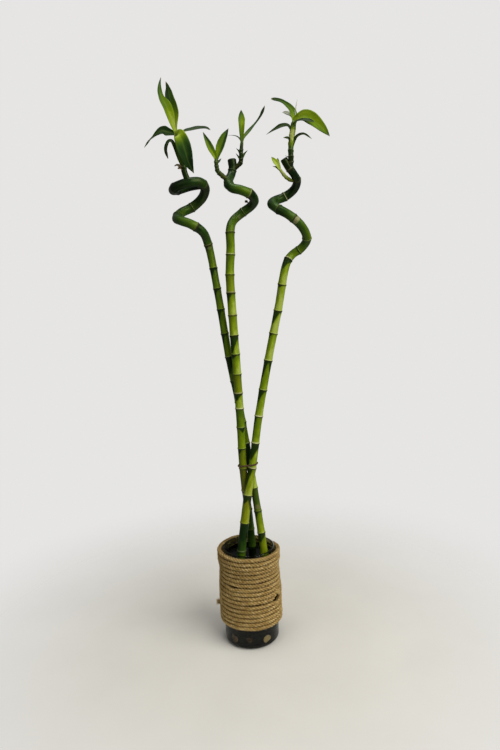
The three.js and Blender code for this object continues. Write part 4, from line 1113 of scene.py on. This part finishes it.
# Pebbles on top: distance from the axis, how many, height
TOP_PEBBLES = [(0, 1, 92), (9.5, 5, 91.5), (19, 11, 92), (25, 15, 89)]
# Paler stones that show at the foot: place, size and shade, 1 beige and 0.55 a dull brown
PALE_STONES = [((15.5, -24.2, 10), (4.2, 5.9, 5.6), 0.96), ((-19.3, -22.6, 11.4), (4.2, 5.2, 5), 0.74),
               ((-3, -28.6, 13), (4.2, 4.6, 4.8), 0.56)]
# How close a plain pebble may lie to a pale one, and how far the stones are pressed into the glass,
# as wet stones show with no clear line round them
STONE_CLEAR = 5.5
STONE_PRESS = 1.2
# How the pebbles are worn: by how much they are stretched, how deep and how wide their hollows are,
# and how far they may tilt
STONE_WEAR = {"stretch": (0.85, 1.15), "deep": 0.3, "wide": 1.1, "tilt": (-0.5, 0.5)}
# The half sizes of the pebbles, and the dark mass behind them: distance from the axis and height
STONE_SIZE = {"band": (4.4, 6.8, 4.9), "top": (5.4, 4.6, 3.8)}
STONE_FILL = [(0.5, 1.6), (26.5, 1.6), (29, 3.2), (30.6, 5.6), (31.4, 9), (31.4, 30), (26, 33),
              (26, 70), (23, 88), (0.5, 90)]


def press_to_glass(points):
    """Points outside the jar's inner wall are brought in to lie against it, a touch into the glass."""
    corner, upper_half = JAR["corner"], JAR["height"] / 2
    wall = JAR["radius"] - JAR["wall"] + STONE_PRESS
    drop = np.clip(JAR["floor"] - STONE_PRESS + corner - points[:, 2], 0, corner - 0.1)
    limit = wall - corner + np.sqrt(corner**2 - drop**2)
    limit = np.where(points[:, 2] > upper_half, JAR["neck"] - JAR["wall"] - 0.4, limit)
    reach = np.hypot(points[:, 0], points[:, 1])
    squeeze = np.minimum(1, limit / np.maximum(reach, 1))
    height = np.maximum(points[:, 2], JAR["floor"] - STONE_PRESS)
    return np.stack([points[:, 0] * squeeze, points[:, 1] * squeeze, height], -1)


def add_stone(skin, form, place, size, rng, shade, turn):
    """A pebble worn out of a round form, tilted and turned, and kept inside the jar."""
    points, faces = form
    shape = points * np.array([rng.uniform(*STONE_WEAR["stretch"]) for _ in range(3)]) * np.array(size)
    hollows = STONE_WEAR["deep"] * ripple(points, STONE_WEAR["wide"], rng.random() * 9)
    shape = shape * (1 + hollows)[:, None]
    turned = Matrix.Rotation(turn, 3, "Z") @ Matrix.Rotation(rng.uniform(*STONE_WEAR["tilt"]), 3, "X")
    skin.add(press_to_glass(shape @ np.array(turned).T + place), faces, shade=shade)


def build_pebbles(material):
    """Pebbles along the glass and on top, with a dark mass that fills the jar behind them."""
    rng = random.Random(7)
    form = stone_form()
    skin = Skin()
    for height, reach, count in PEBBLE_ROWS:
        for k in range(count):
            turn = 2 * math.pi * (k + rng.uniform(-0.12, 0.12)) / count + height
            place = round_axis(turn, reach, height + rng.uniform(-0.6, 0.6))
            if min(np.linalg.norm(place - spot) for spot, _, _ in PALE_STONES) > STONE_CLEAR:
                add_stone(skin, form, place, STONE_SIZE["band"], rng, 0.42 * rng.random(), turn)
    for place, size, shade in PALE_STONES:
        add_stone(skin, form, place, size, rng, shade, math.atan2(place[1], place[0]))
    for reach, count, height in TOP_PEBBLES:
        for k in range(count):
            turn = 2 * math.pi * (k + rng.uniform(-0.15, 0.15)) / count + reach
            place = round_axis(turn, reach, height + rng.uniform(-1, 1))
            add_stone(skin, form, place, STONE_SIZE["top"], rng, 0.4 * rng.random(), rng.uniform(0, 3))
    skin.tube(lathe(STONE_FILL, JAR["segments"]), shade=0.02)
    skin.piece("dark_pebbles", material, ["pebble_bed"])


def stone_look():
    """Nearly black wet stone, and beige for the few pale ones."""
    look = Look("dark pebbles", Specular_IOR_Level=0.08)
    mottle = look.noise(look.place(), 420, 4, 0.6)
    veins = look.noise(look.place(), 150, 2)
    look.body = look.ramp(look.varied("shade", mottle, 0.1, clamp=True), [
        (0.0, colour(6, 8, 6)), (0.25, colour(13, 17, 13)), (0.45, colour(26, 27, 20)),
        (0.72, colour(132, 96, 62)), (1.0, colour(226, 190, 140)),
    ])
    look.cover(look.spread(veins, 0.56, 0.7, 0, 0.5), colour(40, 46, 32))
    return look.finish(look.noisy(mottle, 0.4, 0.6), mottle, 0.15, 0.06)


# The cord round the canes: its height at the left cane and its slope, how far it is from their
# skin, how deep and tall it is, its two threads and the length of one full twist. "least" is the
# fewest rings that a thread has, and "step" the distance from one ring to the next.
TIE = {"height": 215.7, "slope": 0.16, "clear": 0.2, "deep": 1.6, "tall": 2.2, "thread": 0.55,
       "steps": 96, "twist": 5.6, "sides": 10, "least": 24, "step": 0.5}
# One end of the cord from the knot at the back, and how each end stretches that line
TIE_TAIL = [(0, 0, 0), (1, 3, 0.6), (2, 4.5, 0), (3, 9, -3)]
TIE_ENDS = [(1, 1, 1), (-0.8, 0.9, 1.3)]


def tie_centres(lines):
    """The cord's middle line, pulled tight round the outer sides of the three canes."""
    posts = []
    for line, cane in lines:
        places = np.arange(0, 300, 0.25)
        points = line.at(places)
        k = int(np.argmax(points[:, 2] >= TIE["height"]))
        posts.append((points[k], float(read_pairs(cane["radii"], places[k]))))
    centres = []
    for turn in 2 * np.pi * np.arange(TIE["steps"]) / TIE["steps"]:
        out = round_axis(-turn)
        point, radius = max(posts, key=lambda post: post[0].dot(out) + post[1])
        centre = point + out * (radius + TIE["clear"] + TIE["deep"] / 2)
        centre[2] = TIE["height"] + TIE["slope"] * (centre[0] - posts[0][0][0])
        centres.append(centre)
    return np.array(centres)


def add_cord(skin, line):
    """Two threads twisted round each other along a line."""
    count = max(TIE["least"], int(line.length / TIE["step"]))
    places = np.linspace(0, line.length, count)
    directions = line.direction(places)
    aside = unit(np.cross(directions, (0, 0, 1)))
    rise = np.cross(aside, directions)
    outs = outward(directions, TIE["sides"])
    for strand in (0, np.pi):
        turn = (2 * np.pi * places / TIE["twist"] + strand)[:, None]
        offset = aside * np.cos(turn) * (TIE["deep"] / 2 - TIE["thread"])
        offset = offset + rise * np.sin(turn) * (TIE["tall"] / 2 - TIE["thread"])
        centres = line.at(places) + offset
        skin.tube(centres[:, None, :] + outs * TIE["thread"],
                  skin=roll_coordinates(places, 1, TIE["sides"]))


def build_tie(lines, material):
    """The cord round the three canes, with its two short ends at the back."""
    centres = tie_centres(lines)
    skin = Skin()
    add_cord(skin, Line([*centres, centres[0]]))
    back = centres[3 * TIE["steps"] // 4]
    for stretch in TIE_ENDS:
        add_cord(skin, Line([back + np.array(step) * stretch for step in TIE_TAIL]))
    skin.piece("twisted_tie", material, ["cane_tie"])


def tie_look():
    """Dark brown thread."""
    look = Look("tie cord", Sheen_Weight=0.15)
    threads = look.noise(look.skin(), 3000, stretch=(1, 1, 0.2))
    look.body = look.ramp(threads, [(0.3, colour(48, 22, 8)), (0.7, colour(92, 50, 20))])
    return look.finish(look.noisy(threads, 0.6, 0.85), threads, 0.6, 0.15)


# A small dry bud on a thin stalk at the inner side of the middle cane's spiral: its line, and
# its radius at shares of its length
BUD_PATH = [(19.4, -0.5, 508.8), (17.2, -0.6, 510.6), (15.0, -0.8, 512.2), (14.0, -0.9, 510.6)]
BUD_RADII = [(0, 0.45), (0.45, 0.5), (0.6, 1.5), (0.8, 1.3), (1, 0.15)]
BUD = {"rings": 16, "sides": 12}


def build_bud(material):
    """The bud as one short tube with the skin of a cane."""
    path = Line(BUD_PATH)
    places = np.linspace(0, path.length, BUD["rings"])
    outs = outward(path.direction(places), BUD["sides"])
    radius = read_pairs(BUD_RADII, places / path.length)
    points = path.at(places)[:, None, :] + outs * radius[:, None, None]
    skin = Skin()
    skin.tube(points, skin=roll_coordinates(places, 1.5, BUD["sides"]),
              tone=0.1, dark=0.3, lip=0, seam=0, brown=0.5, olive=0, cut=0)
    skin.piece("spiral_bud", material)


# The floor in metres: its size, and between which distances it fades out
FLOOR = {"radius": 0.7, "sides": 64, "fade": (0.08, 0.5)}
# Soft round lights: place in metres, size, power and tint, all turned to one spot of the plant
LIGHTS = {
    "key": ((1.15, -1.0, 1.4), 1.9, 36, (1, 0.985, 0.96)),
    "fill": ((-1.1, -1.2, 1.1), 1.2, 2.5, (0.98, 0.99, 1)),
    "top": ((-0.1, -0.1, 2.2), 1.2, 14, (1, 1, 1)),
}
LIT_SPOT = (0, 0, 0.4)
BACKDROP = colour(230, 229, 228)
SURROUND = colour(108, 108, 106)


def build_floor():
    """A plain pale floor that fades out into the background."""
    look = Look("pale floor", Roughness=0.75, Specular_IOR_Level=0.2)
    mottle = look.noise(look.place(), 9, 3)
    pale = look.ramp(mottle, [(0.3, colour(219, 216, 207)), (0.7, colour(225, 222, 213))])
    look.feed(look.shader.inputs["Base Color"], pale)
    clear = look.node("ShaderNodeBsdfTransparent", {})
    reach = look.node("ShaderNodeVectorMath", {0: look.place()}, "Value", operation="LENGTH")
    near, far = FLOOR["fade"]
    fade = look.node("ShaderNodeMapRange", {"Value": reach, "From Min": near, "From Max": far},
                     interpolation_type="SMOOTHSTEP")
    mixed = look.node("ShaderNodeMixShader", {0: fade, 1: look.shader.outputs[0], 2: clear})
    look.feed(look.tree.nodes["Material Output"].inputs["Surface"], mixed)
    mesh = bpy.data.meshes.new("floor")
    turns = np.linspace(0, 2 * np.pi, FLOOR["sides"], endpoint=False)
    rim = [round_axis(turn, FLOOR["radius"]) for turn in turns]
    mesh.from_pydata(rim, [], [list(range(len(rim)))])
    mesh.materials.append(look.material)
    floor = bpy.data.objects.new("floor", mesh)
    bpy.context.scene.collection.objects.link(floor)


def add_light(name, place, size, power, tint):
    """A round soft light, turned to the lit spot."""
    data = bpy.data.lights.new(name, "AREA")
    data.shape = "DISK"
    data.size = size
    data.energy = power
    data.color = tint
    light = bpy.data.objects.new(name, data)
    light.location = place
    light.rotation_mode = "QUATERNION"
    light.rotation_quaternion = (Vector(LIT_SPOT) - Vector(place)).to_track_quat("-Z", "Y")
    bpy.context.scene.collection.objects.link(light)


def build_light():
    """A pale backdrop for the camera, a dimmer surround for the surfaces, and soft lights."""
    world = bpy.data.worlds.new("pale surround")
    world.use_nodes = True
    tree = world.node_tree
    backdrop = tree.nodes["Background"]
    backdrop.inputs["Color"].default_value = BACKDROP
    surround = tree.nodes.new("ShaderNodeBackground")
    surround.inputs["Color"].default_value = SURROUND
    path = tree.nodes.new("ShaderNodeLightPath")
    mix = tree.nodes.new("ShaderNodeMixShader")
    tree.links.new(path.outputs["Is Camera Ray"], mix.inputs[0])
    tree.links.new(surround.outputs[0], mix.inputs[1])
    tree.links.new(backdrop.outputs[0], mix.inputs[2])
    tree.links.new(mix.outputs[0], tree.nodes["World Output"].inputs["Surface"])
    bpy.context.scene.world = world
    for name, light in LIGHTS.items():
        add_light(name, *light)
    bpy.context.scene.view_settings.view_transform = "Standard"


# Where the photograph was taken from: place in metres, tilt down and sideways roll in degrees, lens
CAMERA = {"place": (0.011, -0.660, 0.415), "pitch": 8.2, "roll": 2.56, "lens": 28, "sensor": 36}


def build_camera():
    """The camera that sees the object as in the photograph."""
    pitch, roll = math.radians(CAMERA["pitch"]), math.radians(CAMERA["roll"])
    forward = Vector((0, math.cos(pitch), -math.sin(pitch)))
    level_up = Vector((0, math.sin(pitch), math.cos(pitch)))
    right = math.cos(roll) * Vector((1, 0, 0)) - math.sin(roll) * level_up
    up = math.sin(roll) * Vector((1, 0, 0)) + math.cos(roll) * level_up
    data = bpy.data.cameras.new("camera")
    data.lens = CAMERA["lens"]
    data.sensor_width = CAMERA["sensor"]
    camera = bpy.data.objects.new("camera", data)
    turn = Matrix((right, up, -forward)).transposed().to_4x4()
    camera.matrix_world = Matrix.Translation(CAMERA["place"]) @ turn
    bpy.context.scene.collection.objects.link(camera)
    bpy.context.scene.camera = camera


def main():
    """Builds every piece, then the stage."""
    cane_skin = cane_look()
    blades = leaf_look()
    lines = [(build_cane(name, cane, cane_skin), cane) for name, cane in CANES.items()]
    for number, (name, shoot) in enumerate(SHOOTS.items()):
        build_shoot_stem(name, shoot, cane_skin)
        skin = Skin()
        for k, blade in enumerate(shoot["blades"]):
            add_blade(skin, blade, 20 * number + k)
        skin.piece(f"{name}_shoot_leaves", blades, [f"shoot_{name}"])
    build_bud(cane_skin)
    build_tie(lines, tie_look())
    build_rope(rope_look())
    build_fibres(fibre_look())
    build_jar(glass_look())
    build_pebbles(stone_look())
    build_water(water_look())
    build_floor()
    build_light()
    build_camera()


main()
